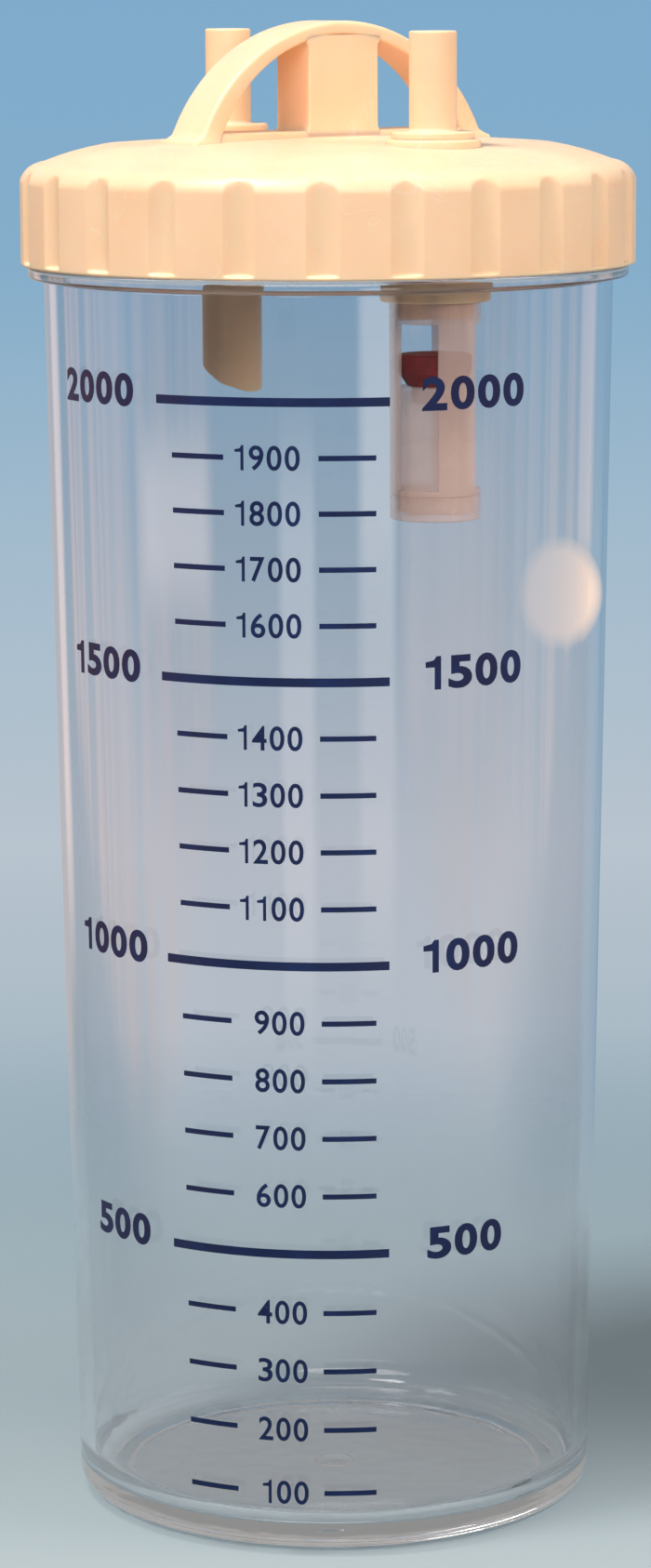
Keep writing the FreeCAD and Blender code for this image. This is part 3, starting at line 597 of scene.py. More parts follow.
def printed_number(value, style, middles, mark_height):
    """A number laid on the wall, each digit in a cell of its own, round an angle and by its mark."""
    advance, width, height, stem, weight, foot = style
    text = str(value)
    middle = math.radians(middles[0 if len(text) == 4 else 1]) * wall_radius(mark_height)
    first = middle - (len(text) * advance - advance + width) / 2
    parts = []
    for place, digit in enumerate(text):
        if digit == "1":
            points, faces = bold_one(stem, width * ONE_WIDTH, height)
            points = points + [width * ONE_INSET, 0, 0]
        else:
            points, faces = digit_mesh(digit, weight, width, height)
        lift = INK_LOW + (INK_HIGH - INK_LOW) * (points[:, 2] + 0.5)
        across = first + place * advance + points[:, 0]
        parts.append((on_wall(across, mark_height - foot + points[:, 1], lift), faces))
    return parts


def make_scale():
    """Long lines with large numerals each 500, and ticks round a small numeral each 100 between them."""
    parts = []
    for value, height in MARK_HEIGHTS.items():
        if value % 500 == 0:
            parts.append(printed_line(*LONG_LINE, height))
            parts += printed_number(value, LARGE_TYPE, LEFT_LARGE, height)
            parts += printed_number(value, LARGE_TYPE, RIGHT_LARGE, height)
        else:
            parts.append(printed_line(*LEFT_TICK, height))
            parts.append(printed_line(*RIGHT_TICK, height))
            parts += printed_number(value, SMALL_TYPE, SMALL, height)
    return add_piece("jar_scale_print", parts, "jar", INK)


# The lid. A flute is a circle that stands FLUTE_REACH from the axis and cuts into the skirt.
FLUTES = 24
FLUTE_RADIUS = 5.0
FLUTE_REACH = 66.2
FLUTE_LIP = 0.5
FLUTE_RUN = 0.7
FLUTE_SOFTNESS = 0.3
FLUTE_PHASE = math.radians(9.5)
SKIRT_TOP = 272.9
SHOULDER_BOTTOM = 273.5
SHOULDER_RADIUS = 58.0
SHOULDER_TOP = 277.1
SHOULDER_ROUNDING = 5.2
DOME_EDGE_ROUNDING = 60.0
SKIRT_MIDDLE = SKIRT_INSIDE + 0.9
PLUG_CLEARANCE = 0.8
PLUG_WALL = 1.8
PLUG_DEPTH = 4.5


def flute_angles():
    """Angles round the skirt, closer together where a flute's edges are."""
    half = np.array([0.0, 0.8, 1.5, 2.1, 2.5, 2.75, 2.9, 3.05, 3.2, 3.4, 3.8, 4.8, 6.2])
    sector = np.concatenate([-half[:0:-1], half])
    step = 360.0 / FLUTES
    return np.radians((sector[None, :] + step * np.arange(FLUTES)[:, None]).reshape(-1)) + FLUTE_PHASE


def lid_shape(r, z, angle):
    """Cuts the flutes on the outside and raises the thread on the inside.

    A flute's r is FLUTE_REACH cos a - sqrt(FLUTE_RADIUS^2 - (FLUTE_REACH sin a)^2), with a from its middle.
    """
    step = 2 * math.pi / FLUTES
    away = (angle - FLUTE_PHASE + step / 2) % step - step / 2
    across = FLUTE_REACH * np.sin(away)
    inside = np.abs(across) < FLUTE_RADIUS
    depth = np.sqrt(np.where(inside, FLUTE_RADIUS ** 2 - across ** 2, 0))
    bottom = np.where(inside, FLUTE_REACH * np.cos(away) - depth, SKIRT_RADIUS + 1)
    share = smooth((z - SKIRT_BOTTOM - FLUTE_LIP) / FLUTE_RUN)
    cut = r - share * (r - soft_lower(r, bottom, FLUTE_SOFTNESS))
    ridge = thread_ridge(r, z, angle + LID_TURN, SKIRT_INSIDE, SKIRT_THREAD_START)
    return np.where(r > SKIRT_MIDDLE, cut, r - ridge), z


def dome_height(r):
    """Height of the dome's outside at a distance from the axis, inside its break."""
    return DOME_TOP - DOME_CAP + np.sqrt(DOME_CAP ** 2 - r ** 2)


def lid_shell():
    """The lid's section turned about its axis: ceiling, plug ring, seat, skirt, shoulder and dome."""
    plug_outside = NECK_BORE - PLUG_CLEARANCE
    plug_inside = plug_outside - PLUG_WALL
    plug_bottom = LID_SEAT - PLUG_DEPTH
    ceiling_edge = (plug_inside, float(dome_height(plug_inside)) - LID_WALL)
    shoulder = (SHOULDER_RADIUS, SHOULDER_TOP)
    dome_edge = (DOME_BREAK, float(dome_height(DOME_BREAK)))
    flute_foot = SKIRT_BOTTOM + FLUTE_LIP + FLUTE_RUN * np.linspace(0, 1, 9)
    profile = rounded([
        *arc((0, DOME_TOP - LID_WALL), ceiling_edge, DOME_CAP - LID_WALL, -1, 7),
        (plug_inside, plug_bottom, 0.5), (plug_outside, plug_bottom, 0.5), (plug_outside, LID_SEAT, 0.3),
        (SKIRT_INSIDE, LID_SEAT, 0.6), *thread_rows(SKIRT_INSIDE, -0.5),
        (SKIRT_INSIDE, SKIRT_BOTTOM, 0.4), (SKIRT_RADIUS, SKIRT_BOTTOM, 0.45),
        *[(SKIRT_RADIUS, height, 0) for height in flute_foot],
        (SKIRT_RADIUS, SKIRT_TOP, 0),
        *arc((SKIRT_RADIUS, SHOULDER_BOTTOM), shoulder, SHOULDER_ROUNDING, 1, 9),
        *arc(shoulder, dome_edge, DOME_EDGE_ROUNDING, 1, 5)[1:],
        *arc(dome_edge, (0, DOME_TOP), DOME_CAP, 1, 11)[1:],
    ], closed=False)
    profile[0, 0] = profile[-1, 0] = 0
    return turned(profile, flute_angles(), shape=lid_shape)


# The handle: an arch between an outer and an inner circle, a post in it and a low sill between its feet
HANDLE_HALF_WIDTH = 6.0
HANDLE_RADIUS = 37.0
HANDLE_CENTRE = 268.1
HANDLE_INNER = 31.3
HANDLE_INNER_CENTRE = 271.0
HANDLE_START = math.radians(17.5)
STRAP_ROUNDING = 0.9
STRAP_FLARE = 1.7
STRAP_FLARE_HEIGHT = 2.0
STRAP_SIDE_FLARE = 0.35
STRAP_SINK = 1.4
SILL_TOP = 283.3
SILL_SIDE = 281.6
SILL_BOTTOM = 280.2
SILL_ROUNDING = 0.6
FOOT_FLARE = 0.5
FOOT_FLARE_HEIGHT = 0.8
SILL_HALF = 31.6
SILL_INSET = 0.13
POST_HALF = 8.5
POST_INSET = 0.07
POST_ROUNDING = 0.6
POST_SINK = 1.2
POST_OVERLAP = 1.0
POST_TOP_FLARE = 0.7
POST_TOP_FLARE_HEIGHT = 1.0


def rounded_loop(half_x, half_y, rounding, steps=6):
    """A rounded rectangle, counter-clockwise: each corner's centre + rounding * (cos t, sin t)."""
    turn = np.concatenate([np.linspace(q, q + 1, steps) for q in range(4)]) * math.pi / 2
    centre_x = np.repeat([1, -1, -1, 1], steps) * (half_x - rounding)
    centre_y = np.repeat([1, 1, -1, -1], steps) * (half_y - rounding)
    return centre_x + rounding * np.cos(turn), centre_y + rounding * np.sin(turn)


def capped(points, outwards=True):
    """A stack of loops as a closed solid: quads between the loops, and a face on the first and the last."""
    rows, count = points.shape[:2]
    quads = grid_faces(rows, count, False)
    first, last = list(range(count)), list(range((rows - 1) * count, rows * count))
    if outwards:
        return points.reshape(-1, 3), quads.tolist() + [first[::-1], last]
    return points.reshape(-1, 3), quads[:, ::-1].tolist() + [first, last[::-1]]


def flare(distance, reach, most):
    """How far a foot spreads near what it stands on: most * (1 - distance / reach)^2."""
    return most * np.clip(1 - distance / reach, 0, 1) ** 2


def handle_strap():
    """The arch: a rounded rectangle carried round between two circles, and flared where it meets the dome.

    The inner circle's distance from the outer one's centre is drop sin a + sqrt(radius^2 - (drop cos a)^2).
    """
    angle = np.linspace(HANDLE_START, math.pi - HANDLE_START, 96)[:, None]
    drop = HANDLE_INNER_CENTRE - HANDLE_CENTRE
    inner = drop * np.sin(angle) + np.sqrt(HANDLE_INNER ** 2 - (drop * np.cos(angle)) ** 2)
    half = (HANDLE_RADIUS - inner) / 2
    across, side = rounded_loop(1.0, 1.0, 0.0)
    quarter_x, quarter_y = rounded_loop(STRAP_ROUNDING, STRAP_ROUNDING, STRAP_ROUNDING)
    radial = (HANDLE_RADIUS + inner) / 2 + across * (half - STRAP_ROUNDING) + quarter_x
    width = side * (HANDLE_HALF_WIDTH - STRAP_ROUNDING) + quarter_y + 0 * radial
    height = HANDLE_CENTRE + radial * np.sin(angle)
    above = height - dome_height(np.abs(radial * np.cos(angle)))
    spread = flare(above, STRAP_FLARE_HEIGHT, STRAP_FLARE)
    radial = radial + np.clip(across, 0, 1) * spread
    width = width + side * spread * STRAP_SIDE_FLARE
    x = radial * np.cos(angle)
    z = HANDLE_CENTRE + radial * np.sin(angle)
    z = np.maximum(z, dome_height(np.abs(x)) - STRAP_SINK)
    return capped(np.stack([x, width, z], -1), outwards=False)


def handle_post():
    """The post: a rounded rectangle carried up from the sill into the arch, and flared at both ends."""
    share = np.linspace(0, 1, 24)[:, None]
    x, y = rounded_loop(POST_HALF, HANDLE_HALF_WIDTH - POST_INSET, POST_ROUNDING)
    top = HANDLE_INNER_CENTRE + np.sqrt(HANDLE_INNER ** 2 - x ** 2)
    z = SILL_TOP - POST_SINK + share * (top + POST_OVERLAP - SILL_TOP + POST_SINK)
    spread = flare(top - z, POST_TOP_FLARE_HEIGHT, POST_TOP_FLARE)
    spread = spread + flare(z - SILL_TOP, FOOT_FLARE_HEIGHT, FOOT_FLARE)
    spread = np.where((z > top) | (z < SILL_TOP), POST_TOP_FLARE, spread)
    return capped(np.stack([x + np.sign(x) * spread, y + 0 * z, z], -1))


def handle_sill():
    """The low rib between the arch's feet: a rounded rectangle whose top edge is a quarter circle.

    The quarter circle is inset = rounding (1 - cos t) and height = top - rounding + rounding sin t.
    """
    turn = np.linspace(0, math.pi / 2, 6)
    inset = np.concatenate([[0.0, 0.0], SILL_ROUNDING * (1 - np.cos(turn))])[:, None]
    z = np.concatenate([[SILL_BOTTOM, SILL_SIDE], SILL_TOP - SILL_ROUNDING * (1 - np.sin(turn))])[:, None]
    x, y = rounded_loop(SILL_HALF, HANDLE_HALF_WIDTH - SILL_INSET, 1.0)
    spread = flare(z - dome_height(np.abs(x)), FOOT_FLARE_HEIGHT, FOOT_FLARE)
    return capped(np.stack([
        x - np.sign(x) * inset,
        y - np.sign(y) * (inset - spread),
        z + 0 * x,
    ], -1))


# The ports. The stem goes down through the pad, and the splash tube and the collar are pushed on it.
PORT_BORE = 3.4
STEM_RADIUS = 4.6
STEM_BOTTOM = 266.3
SOCKET_RADIUS = 4.63
PAD_BORE = 4.72
PAD_RADIUS = 9.4
PORT_FLANGE = 8.2
PORT_FLANGE_TOP = 283.8
BARREL_RADIUS = 4.7
BARREL_TOP = 303.3


def port_pad(side):
    """The flat boss that a port stands on, a ring turned about the port's axis, through the dome."""
    profile = rounded([
        (PAD_BORE, PAD_BOTTOM, 0.2), (PAD_RADIUS, PAD_BOTTOM, 0.5), (PAD_RADIUS, PAD_TOP, 0.6),
        (PAD_BORE, PAD_TOP, 0.2),
    ])
    return turned(profile, 72, port_centre(side))


def make_lid():
    """The lid, its handle and the pads of its ports, which are one moulding."""
    parts = [lid_shell(), handle_strap(), handle_post(), handle_sill()]
    parts = [(turned_with_lid(points), faces) for points, faces in parts] + [port_pad(1), port_pad(-1)]
    return add_piece("lid_moulding", parts, "lid_assembly", LID_PLASTIC, ["lid", "lid_handle"])


def make_port(name, side):
    """A hose port: barrel, flange and stem, turned about the port's axis."""
    profile = rounded([
        (PORT_BORE, STEM_BOTTOM, 0.25), (STEM_RADIUS, STEM_BOTTOM, 0.5), (STEM_RADIUS, PAD_TOP, 0),
        (PORT_FLANGE, PAD_TOP, 0.25), (PORT_FLANGE, PORT_FLANGE_TOP, 0.5),
        (BARREL_RADIUS, PORT_FLANGE_TOP, 0.7), (BARREL_RADIUS, BARREL_TOP, 0.45),
        (PORT_BORE, BARREL_TOP, 0.35),
    ])
    part = turned(profile, 96, port_centre(side))
    return add_piece(name + "_tube", [part], "lid_assembly", LID_PLASTIC, [name])


# The splash tube under the inlet
TUBE_RADIUS = 6.3
TUBE_BOTTOM = 228.1
TUBE_SLANT = 6.3
TUBE_FACING = LID_TURN + math.radians(109.5)


def make_deflector():
    """The splash tube, stretched along its axis so that its lip lies in a slanting plane.

    The plane's height is bottom + slant / 2 * (1 + r / radius * cos(t - facing)).
    """
    def shape(r, z, angle):
        end = TUBE_BOTTOM + TUBE_SLANT / 2 * (1 + r / TUBE_RADIUS * np.cos(angle - TUBE_FACING))
        return r, PAD_BOTTOM - (PAD_BOTTOM - z) * (PAD_BOTTOM - end) / (PAD_BOTTOM - TUBE_BOTTOM)

    profile = rounded([
        (SOCKET_RADIUS, TUBE_BOTTOM, 0.35), (TUBE_RADIUS, TUBE_BOTTOM, 0.5), (TUBE_RADIUS, PAD_BOTTOM, 0.4),
        (SOCKET_RADIUS, PAD_BOTTOM, 0),
    ])
    part = turned(profile, 96, port_centre(1), shape)
    return add_piece("splash_tube", [part], "lid_assembly", LID_PLASTIC, ["inlet_deflector"])


# The float valve under the vacuum port
NOZZLE_BORE = 4.0
NOZZLE_RADIUS = 7.4
NOZZLE_BOTTOM = 247.5
CAGE_RADIUS = 8.9
CAGE_INSIDE = 7.7
CAGE_TOP = 255.7
CAGE_SOCKET = 8.93
COLLAR_RADIUS = 10.7
COLLAR_SHOULDER = 262.7
SLEEVE_RADIUS = 7.0
SLEEVE_FOOT = 266.4
SLEEVE_STEP = 266.2
CAGE_COLUMNS = 144
WINDOWS = 3
WINDOW_ANGLE = math.radians(2.5)
HALF_WINDOW = math.radians(30.0)
WINDOW_BOTTOM = 213.8
WINDOW_TOP = 246.5
CAGE_EDGE = 0.22
END_RING_TOP = 212.6
END_RING_FLOOR = 209.3
END_RING_OPENING = 5.4
FLOAT_RADIUS = 7.25
FLOAT_WALL = 1.2
FLOAT_NECK = 4.6
SEAL_STEM = 4.57
SEAL_STEM_DEPTH = 3.4
SEAL_FOOT = 5.4
SEAL_RADIUS = 7.1
SEAL_TAPER = 2.6
SEAL_HEIGHT = 6.3


def add_valve_part(name, profile, body, material, node):
    """A profile of the valve turned about the vacuum port's axis, as a piece of its own."""
    return add_piece(name, [turned(profile, 96, port_centre(-1))], body, material, [node])


def make_collar():
    """The valve's collar: sleeve, wide skirt and nozzle."""
    profile = rounded([
        (NOZZLE_BORE, NOZZLE_BOTTOM, 0.3), (NOZZLE_RADIUS, NOZZLE_BOTTOM, 0.5),
        (NOZZLE_RADIUS, CAGE_TOP, 0.3), (CAGE_SOCKET, CAGE_TOP, 0.2), (CAGE_SOCKET, COLLAR_EDGE, 0.2),
        (COLLAR_RADIUS, COLLAR_EDGE, 0.5), (COLLAR_RADIUS, COLLAR_SHOULDER, 1.0),
        (SLEEVE_RADIUS, SLEEVE_FOOT, 1.0), (SLEEVE_RADIUS, PAD_BOTTOM, 0.4), (SOCKET_RADIUS, PAD_BOTTOM, 0),
        (SOCKET_RADIUS, SLEEVE_STEP, 0), (NOZZLE_BORE, SLEEVE_STEP, 0),
    ])
    return add_valve_part("valve_collar_moulding", profile, "lid_assembly", LID_PLASTIC,
                          "valve_collar")


def make_cage():
    """The cage: a cylinder's grid, x = radius cos t and y = radius sin t, without the cells of its windows.

    Solidify gives it its wall, half to each side, and Bevel its soft edges.
    """
    radius = (CAGE_RADIUS + CAGE_INSIDE) / 2
    levels = np.array([
        END_RING_TOP, WINDOW_BOTTOM, 217.0, 221.0, 226.0, 231.0, 236.0, 241.0, 244.0, WINDOW_TOP, 249.0,
        252.0, CAGE_TOP,
    ])
    column = np.linspace(0, 2 * math.pi, CAGE_COLUMNS, endpoint=False) + HALF_WINDOW
    angle = WINDOW_ANGLE + column
    x, y = port_centre(-1)
    ring = np.stack([x + radius * np.cos(angle), y + radius * np.sin(angle)], -1)
    points = np.concatenate([
        np.tile(ring, (len(levels), 1)),
        np.repeat(levels, CAGE_COLUMNS)[:, None],
    ], 1)
    middle = column + math.pi / CAGE_COLUMNS
    step = 2 * math.pi / WINDOWS
    open_column = np.abs((middle + step / 2) % step - step / 2) < HALF_WINDOW
    open_row = (levels[:-1] >= WINDOW_BOTTOM) & (levels[1:] <= WINDOW_TOP)
    kept = ~(open_row[:, None] & open_column[None, :]).reshape(-1)
    faces = grid_faces(len(levels), CAGE_COLUMNS, False)[kept]
    cage = add_piece("valve_cage", [(points, faces.tolist())], "lid_assembly", CAGE_PLASTIC,
                     ["float_cage"])
    thicken = cage.modifiers.new("wall", "SOLIDIFY")
    thicken.thickness = (CAGE_RADIUS - CAGE_INSIDE) * MM
    thicken.offset = 0
    soften = cage.modifiers.new("edges", "BEVEL")
    soften.width = CAGE_EDGE * MM
    soften.segments = 2
    soften.limit_method = "ANGLE"
    soften.angle_limit = math.radians(50)
    return cage


def make_end_ring():
    """The ring at the cage's foot, with the floor that the float rests on."""
    profile = rounded([
        (END_RING_OPENING, CAGE_END, 0.3), (CAGE_RADIUS, CAGE_END, 0.5), (CAGE_RADIUS, END_RING_TOP, 0.15),
        (CAGE_INSIDE, END_RING_TOP, 0.2), (CAGE_INSIDE, END_RING_FLOOR, 0.3),
        (END_RING_OPENING, END_RING_FLOOR, 0.3),
    ])
    return add_valve_part("valve_end_ring", profile, "lid_assembly", CAGE_PLASTIC,
                          "cage_end_ring")


def make_float():
    """The hollow float, closed below and open at its neck."""
    inside, ceiling, floor = FLOAT_RADIUS - FLOAT_WALL, FLOAT_TOP - FLOAT_WALL, FLOAT_BOTTOM + FLOAT_WALL
    profile = rounded([
        (0, FLOAT_BOTTOM, 0), (FLOAT_RADIUS, FLOAT_BOTTOM, 1.2), (FLOAT_RADIUS, FLOAT_TOP, 0.6),
        (FLOAT_NECK, FLOAT_TOP, 0.15), (FLOAT_NECK, ceiling, 0.15), (inside, ceiling, 0.3),
        (inside, floor, 0.8), (0, floor, 0),
    ], closed=False)
    return add_valve_part("float_shell", profile, "float", FLOAT_PLASTIC, "float_body")


def make_seal():
    """The red plug on the float: stem, tapered foot and flat top."""
    bottom, top = FLOAT_TOP - SEAL_STEM_DEPTH, FLOAT_TOP + SEAL_HEIGHT
    profile = rounded([
        (0, bottom, 0), (SEAL_STEM, bottom, 0.4), (SEAL_STEM, FLOAT_TOP, 0.1), (SEAL_FOOT, FLOAT_TOP, 0.2),
        (SEAL_RADIUS, FLOAT_TOP + SEAL_TAPER, 0.8), (SEAL_RADIUS, top, 0.6), (0, top, 0),
    ], closed=False)
    return add_valve_part("float_plug", profile, "float", SEAL_RUBBER, "float_seal")


def finish_cad_node(name, material):
    """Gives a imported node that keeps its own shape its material."""
    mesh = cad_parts[name].data
    mesh.materials.clear()
    mesh.materials.append(material)


make_jar()
make_scale()
make_lid()
make_port("inlet_port", 1)
make_port("vacuum_port", -1)
make_deflector()
make_collar()
make_cage()
make_end_ring()
make_float()
make_seal()
for node in ("lid_gasket", "inlet_port_seal", "vacuum_port_seal"):
    finish_cad_node(node, GASKET_RUBBER)


# The set: a pale floor that fades into a plain graded backdrop, and soft lamps
FLOOR_RINGS = (0.02, 0.1, 0.2, 0.3, 0.4, 0.46)
FLOOR_STEPS = 96
FLOOR_FADE = (0.24, 0.45)
# The floor's front colour is painted light: it is lighter than the middle, as if the lamps lit the front more
FLOOR_FRONT_PAINTED_LIGHT = (0.42, 0.485, 0.505, 1)
FLOOR_MIDDLE = (0.325, 0.40, 0.435, 1)
FLOOR_BACK = (0.33, 0.47, 0.56, 1)


def make_floor():
    """A round floor: a fan of rings, x = r cos t and y = r sin t, whose colour fades out towards its rim. Its
    front carries a painted pool of light.
    """
    radius = np.array(FLOOR_RINGS)[:, None]
    angle = np.linspace(0, 2 * math.pi, FLOOR_STEPS, endpoint=False)[None, :]
    points = np.stack([radius * np.cos(angle), radius * np.sin(angle), 0 * radius * angle], -1).reshape(-1, 3)
    faces = grid_faces(len(FLOOR_RINGS), FLOOR_STEPS, False)[:, ::-1].tolist() + [list(range(FLOOR_STEPS))]
    mesh = bpy.data.meshes.new("floor")
    mesh.from_pydata(points.tolist(), [], faces)
    material, tree, surface = new_material("pale_floor")
    place = tree.add("SeparateXYZ", {0: tree.add("TexCoord").outputs["Object"]}).outputs
    square_x = tree.math("MULTIPLY", place["X"], place["X"])
    square_y = tree.math("MULTIPLY", place["Y"], place["Y"])
    fade = tree.ramp(tree.math("SQRT", tree.math("ADD", square_x, square_y)), *FLOOR_FADE)
    # Painted light: the floor grows lighter towards the front, a painted pool of lamp light
    tone = tree.mix(tree.ramp(place["Y"], -0.08, 0.06), FLOOR_FRONT_PAINTED_LIGHT, FLOOR_MIDDLE)
    tone = tree.mix(tree.ramp(place["Y"], 0.1, 0.4), tone, FLOOR_BACK)
    paper = tree.add("BsdfDiffuse", {"Color": tone})
    nothing = tree.add("BsdfTransparent")
    mixed = tree.add("MixShader", {0: fade, 1: paper.outputs[0], 2: nothing.outputs[0]})
    tree.feed(surface, mixed.outputs[0])
    mesh.materials.append(material)
    floor = bpy.data.objects.new("floor", mesh)
    bpy.context.scene.collection.objects.link(floor)


def band(tree, value, low, high, soft):
    """1 between two values and 0 outside them, with soft ends."""
    rise = {"Value": value, "From Min": low - soft, "From Max": low + soft}
    fall = {"Value": value, "From Min": high - soft, "From Max": high + soft, "To Min": 1.0, "To Max": 0.0}
    ends = [tree.add("MapRange", end, interpolation_type="SMOOTHSTEP") for end in (rise, fall)]
    return tree.math("MULTIPLY", *[end.outputs["Result"] for end in ends])


def panel(tree, side, level, first, last, bottom):
    """A soft panel in the room, between two sides, whose lower edge is a shallow U."""
    middle, half = (first + last) / 2, (last - first) / 2
    aside = tree.math("DIVIDE", tree.math("SUBTRACT", side, middle), half)
    edge = tree.math("MULTIPLY", tree.math("MULTIPLY", aside, aside), 0.09)
    above = tree.math("SUBTRACT", level, tree.math("ADD", edge, bottom))
    return tree.math("MULTIPLY", band(tree, side, first, last, 0.02), band(tree, above, 0.0, 0.6, 0.02))


def patch(tree, side, level, sides, levels, soft_side=0.015, soft_level=0.006):
    """1 inside a range of sides and levels, and 0 outside it."""
    return tree.math("MULTIPLY", band(tree, side, *sides, soft_side), band(tree, level, *levels, soft_level))


def disc(tree, side, level, middle, radii, soft):
    """1 inside an ellipse of sides and levels, and 0 outside it."""
    across = tree.math("DIVIDE", tree.math("SUBTRACT", side, middle[0]), radii[0])
    along = tree.math("DIVIDE", tree.math("SUBTRACT", level, middle[1]), radii[1])
    away = tree.math("ADD", tree.math("MULTIPLY", across, across), tree.math("MULTIPLY", along, along))
    return tree.ramp(away, 1 + soft, 1 - soft)


# The world counts a first mirror image as depth 2
FIRST_MIRROR = 2.5
WALL_TAPER = (WALL_TOP - WALL_BASE) / FLANGE_BOTTOM

# The backdrop from the floor up, and the plain light that everything else receives
BACKDROP_LOW = (0.34, 0.45, 0.52, 1)
BACKDROP_HIGH = (0.20, 0.40, 0.62, 1)
BACKDROP_BETWEEN = (
    (0.24, (0.48, 0.55, 0.62, 1)),
    (0.44, (0.37, 0.50, 0.61, 1)),
    (0.64, (0.235, 0.42, 0.59, 1)),
)
PLAIN_LIGHT = (0.13, 0.135, 0.14, 1)

# The room: its front, low and high, its far side, left and right, and its ceiling
FRONT_HIGH = (0.13, 0.13, 0.14, 1)
FRONT_LOW = (1.20, 1.2, 1.25, 1)
FAR_LEFT = (0.56, 0.46, 0.43, 1)
FAR_RIGHT = (0.20, 0.33, 0.46, 1)
CEILING = (0.62, 0.60, 0.57, 1)
CEILING_THROUGH = (0.42, 0.40, 0.38, 1)
LEFT_PANEL = (-0.92, -0.42, -0.236)
LEFT_PANEL_COLOUR = (1.90, 0.90, 0.46, 1)
RIGHT_PANEL = (0.25, 0.86, -0.224)
RIGHT_PANEL_COLOUR = (1.55, 0.86, 0.46, 1)
RIGHT_PANEL_GAP = ((0.24, 0.54), (-0.088, -0.0735))

# Bright patches of the room: sides, levels, softness of the sides and of the levels, share and colour
PATCHES = (
    ((-0.66, -0.43), (-0.126, -0.095), 0.03, 0.012, 1.0, (4.2, 3.0, 2.4, 1)),
    ((0.27, 0.58), (-0.15, -0.09), 0.03, 0.012, 0.6, (2.6, 1.6, 1.2, 1)),
    ((-0.17, -0.06), (-0.21, -0.10), 0.02, 0.02, 1.0, (2.6, 2.3, 2.2, 1)),
    ((0.11, 0.225), (-0.20, -0.12), 0.02, 0.02, 1.0, (2.4, 2.1, 2.0, 1)),
    ((0.11, 0.225), (-0.125, -0.03), 0.02, 0.02, 1.0, (4.2, 3.6, 3.1, 1)),
    ((0.88, 0.93), (-0.118, 0.2), 0.012, 0.006, 1.0, (1.5, 1.0, 0.8, 1)),
    ((-0.975, -0.95), (-0.19, 0.2), 0.008, 0.03, 1.0, (1.5, 1.0, 0.8, 1)),
)
SPOT = ((0.822, -0.1258), (0.14, 0.0102), 0.35)
SPOT_COLOUR = (3.6, 2.0, 0.9, 1)


def backdrop(tree, up):
    """The graded backdrop, by how far a ray looks up."""
    graded = tree.add("ValToRGB", {0: tree.ramp(up, -0.25, 0.05)})
    stops = graded.color_ramp.elements
    stops[0].position, stops[0].color = 0.0, BACKDROP_LOW
    stops[1].position, stops[1].color = 1.0, BACKDROP_HIGH
    for position, colour in BACKDROP_BETWEEN:
        stops.new(position).color = colour
    return graded.outputs[0]


def mirrored_room(tree, azimuth, up, side, level):
    """The room that the outside of the wall mirrors, and its front alone."""
    low = tree.math("MULTIPLY", tree.ramp(level, -0.125, -0.19), band(tree, side, -0.72, 0.72, 0.12))
    front = tree.mix(low, FRONT_HIGH, FRONT_LOW)
    far = tree.mix(tree.ramp(side, -0.9, 0.9), FAR_LEFT, FAR_RIGHT)
    room = tree.mix(band(tree, azimuth, -152.0, 138.0, 8.0), far, front)
    room = tree.mix(tree.ramp(up, 0.15, 0.5), room, CEILING)
    streaks = tree.add("TexNoise", {"W": azimuth, "Scale": 0.13, "Detail": 3.0}, noise_dimensions="1D")
    streaks = tree.ramp(streaks.outputs[0], 0.36, 0.64, 0.2, 1.15)
    left = panel(tree, side, level, *LEFT_PANEL)
    gap = tree.math("SUBTRACT", 1.0, patch(tree, side, level, *RIGHT_PANEL_GAP))
    right = tree.math("MULTIPLY", panel(tree, side, level, *RIGHT_PANEL), gap)
    room = tree.mix(tree.math("MULTIPLY", left, streaks), room, LEFT_PANEL_COLOUR)
    room = tree.mix(tree.math("MULTIPLY", right, streaks), room, RIGHT_PANEL_COLOUR)
    for sides, levels, soft_side, soft_level, share, colour in PATCHES:
        bright = patch(tree, side, level, sides, levels, soft_side, soft_level)
        room = tree.mix(tree.math("MULTIPLY", bright, share), room, colour)
    return tree.mix(disc(tree, side, level, *SPOT), room, SPOT_COLOUR), front


def make_world():
    """Even soft light, a backdrop for what looks or shines through to it, and a room for what mirrors it.

    A mirror image on the round wall stands at side = sin(azimuth / 2), from -1 to 1, and the wall's taper
    lowers it to level = up + 2 taper cos(azimuth / 2).
    """
    world = bpy.data.worlds.new("studio")
    bpy.context.scene.world = world
    world.use_nodes = True
    world.node_tree.nodes.clear()
    tree = Tree(world.node_tree)
    towards = tree.add("SeparateXYZ", {0: tree.add("TexCoord").outputs["Generated"]}).outputs
    up = towards["Z"]
    ahead = tree.math("MULTIPLY", towards["Y"], -1.0)
    azimuth = tree.math("MULTIPLY", tree.math("ARCTAN2", towards["X"], ahead), math.degrees(1))
    half_turn = tree.math("MULTIPLY", azimuth, math.radians(0.5))
    side = tree.math("SINE", half_turn)
    level = tree.math("ADD", up, tree.math("MULTIPLY", tree.math("COSINE", half_turn), 2 * WALL_TAPER))

    graded = backdrop(tree, up)
    room, front = mirrored_room(tree, azimuth, up, side, level)
    through = tree.mix(band(tree, azimuth, -90.0, 90.0, 15.0), graded, front)
    through = tree.mix(tree.ramp(up, 0.0, 0.1), through, CEILING_THROUGH)
    path = tree.add("LightPath").outputs
    first = tree.math("LESS_THAN", path["Ray Depth"], FIRST_MIRROR)
    first = tree.math("MULTIPLY", path["Is Glossy Ray"], first)
    colour = tree.mix(path["Is Glossy Ray"], PLAIN_LIGHT, through)
    colour = tree.mix(first, colour, room)
    colour = tree.mix(path["Is Transmission Ray"], colour, through)
    colour = tree.mix(path["Is Camera Ray"], colour, graded)
    light = tree.add("Background", {"Color": colour, "Strength": 1.0})
    tree.feed(tree.add("OutputWorld").inputs["Surface"], light.outputs[0])


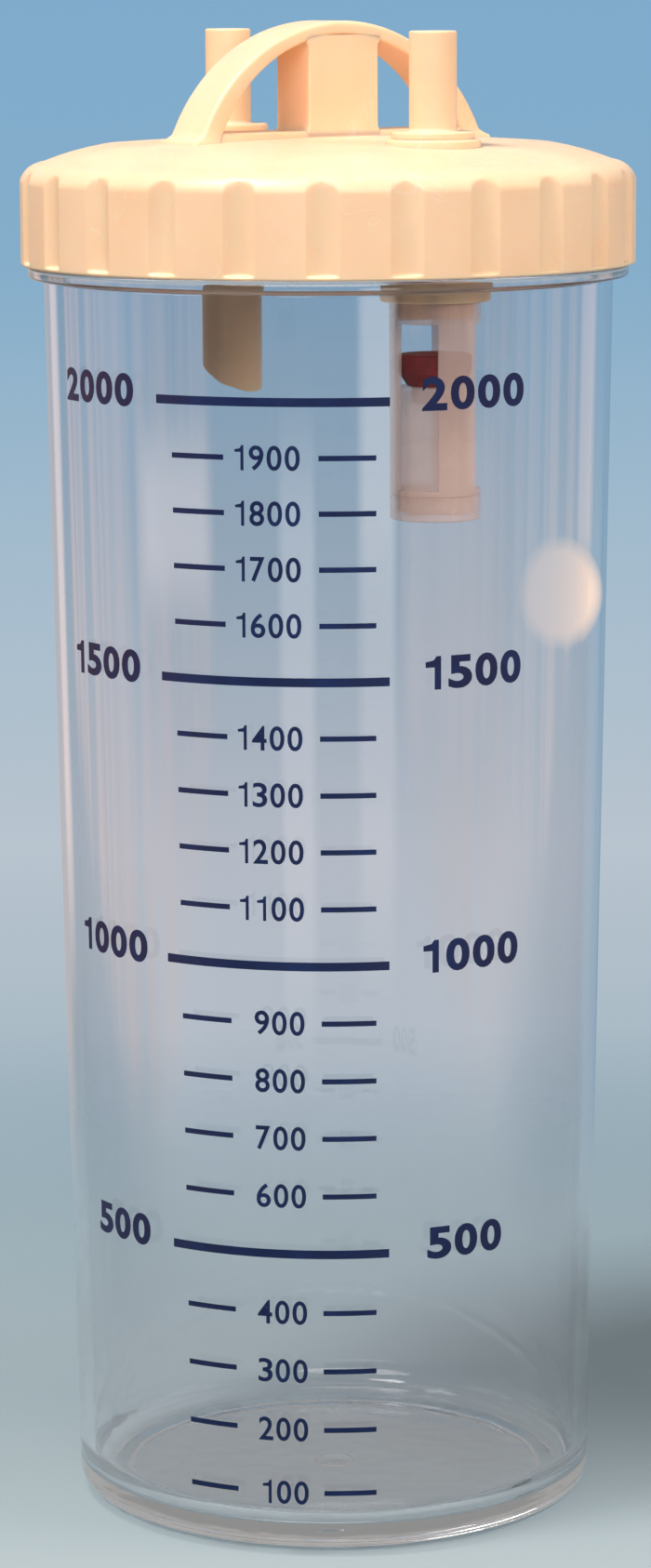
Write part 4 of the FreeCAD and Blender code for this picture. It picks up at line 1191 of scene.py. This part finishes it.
def softbox(name, azimuth, height, distance, aim_height, size, radiance, colour, mirrored=True):
    """An elliptical lamp whose power is radiance * pi * area. Azimuth is in degrees from straight ahead."""
    lamp = bpy.data.lights.new(name, "AREA")
    lamp.shape = "ELLIPSE"
    lamp.size, lamp.size_y = size
    area = size[0] * size[1] * math.pi / 4
    lamp.energy = radiance * math.pi * area
    lamp.color = colour
    holder = bpy.data.objects.new(name, lamp)
    turn = math.radians(azimuth)
    holder.location = (distance * math.sin(turn), -distance * math.cos(turn), height)
    aim = Vector((0, 0, aim_height)) - holder.location
    holder.rotation_euler = aim.to_track_quat("-Z", "Y").to_euler()
    holder.visible_camera = False
    holder.visible_glossy = holder.visible_transmission = mirrored
    bpy.context.scene.collection.objects.link(holder)


softbox("key_lamp", azimuth=-52, height=1.20, distance=0.47, aim_height=0.14, size=(0.30, 0.30),
        radiance=54.0, colour=(1.0, 0.985, 0.965))
softbox("front_fill", azimuth=-12, height=0.72, distance=0.90, aim_height=0.22, size=(1.1, 0.5),
        radiance=4.4, colour=(1.0, 0.97, 0.94))
softbox("right_fill", azimuth=68, height=0.50, distance=0.94, aim_height=0.22, size=(0.8, 0.4),
        radiance=6.8, colour=(1.0, 0.97, 0.94), mirrored=False)
make_floor()
make_world()

CAMERA_LENS = 109.65
CAMERA_SHIFT = -0.0034
CAMERA_PLACE = (0, -0.97531, 0.31321)
CAMERA_PITCH = math.radians(90 - 9.56)
CAMERA_ROLL = math.radians(-0.274)


def make_camera():
    """The photograph's view: a camera on the middle plane, pitched down and rolled a little."""
    camera = bpy.data.cameras.new("camera")
    camera.lens = CAMERA_LENS
    camera.shift_x = CAMERA_SHIFT
    holder = bpy.data.objects.new("camera", camera)
    turn = Matrix.Rotation(CAMERA_PITCH, 4, "X") @ Matrix.Rotation(CAMERA_ROLL, 4, "Z")
    holder.matrix_world = Matrix.Translation(CAMERA_PLACE) @ turn
    bpy.context.scene.collection.objects.link(holder)
    bpy.context.scene.camera = holder


make_camera()
bpy.context.scene.view_settings.view_transform = "Standard"
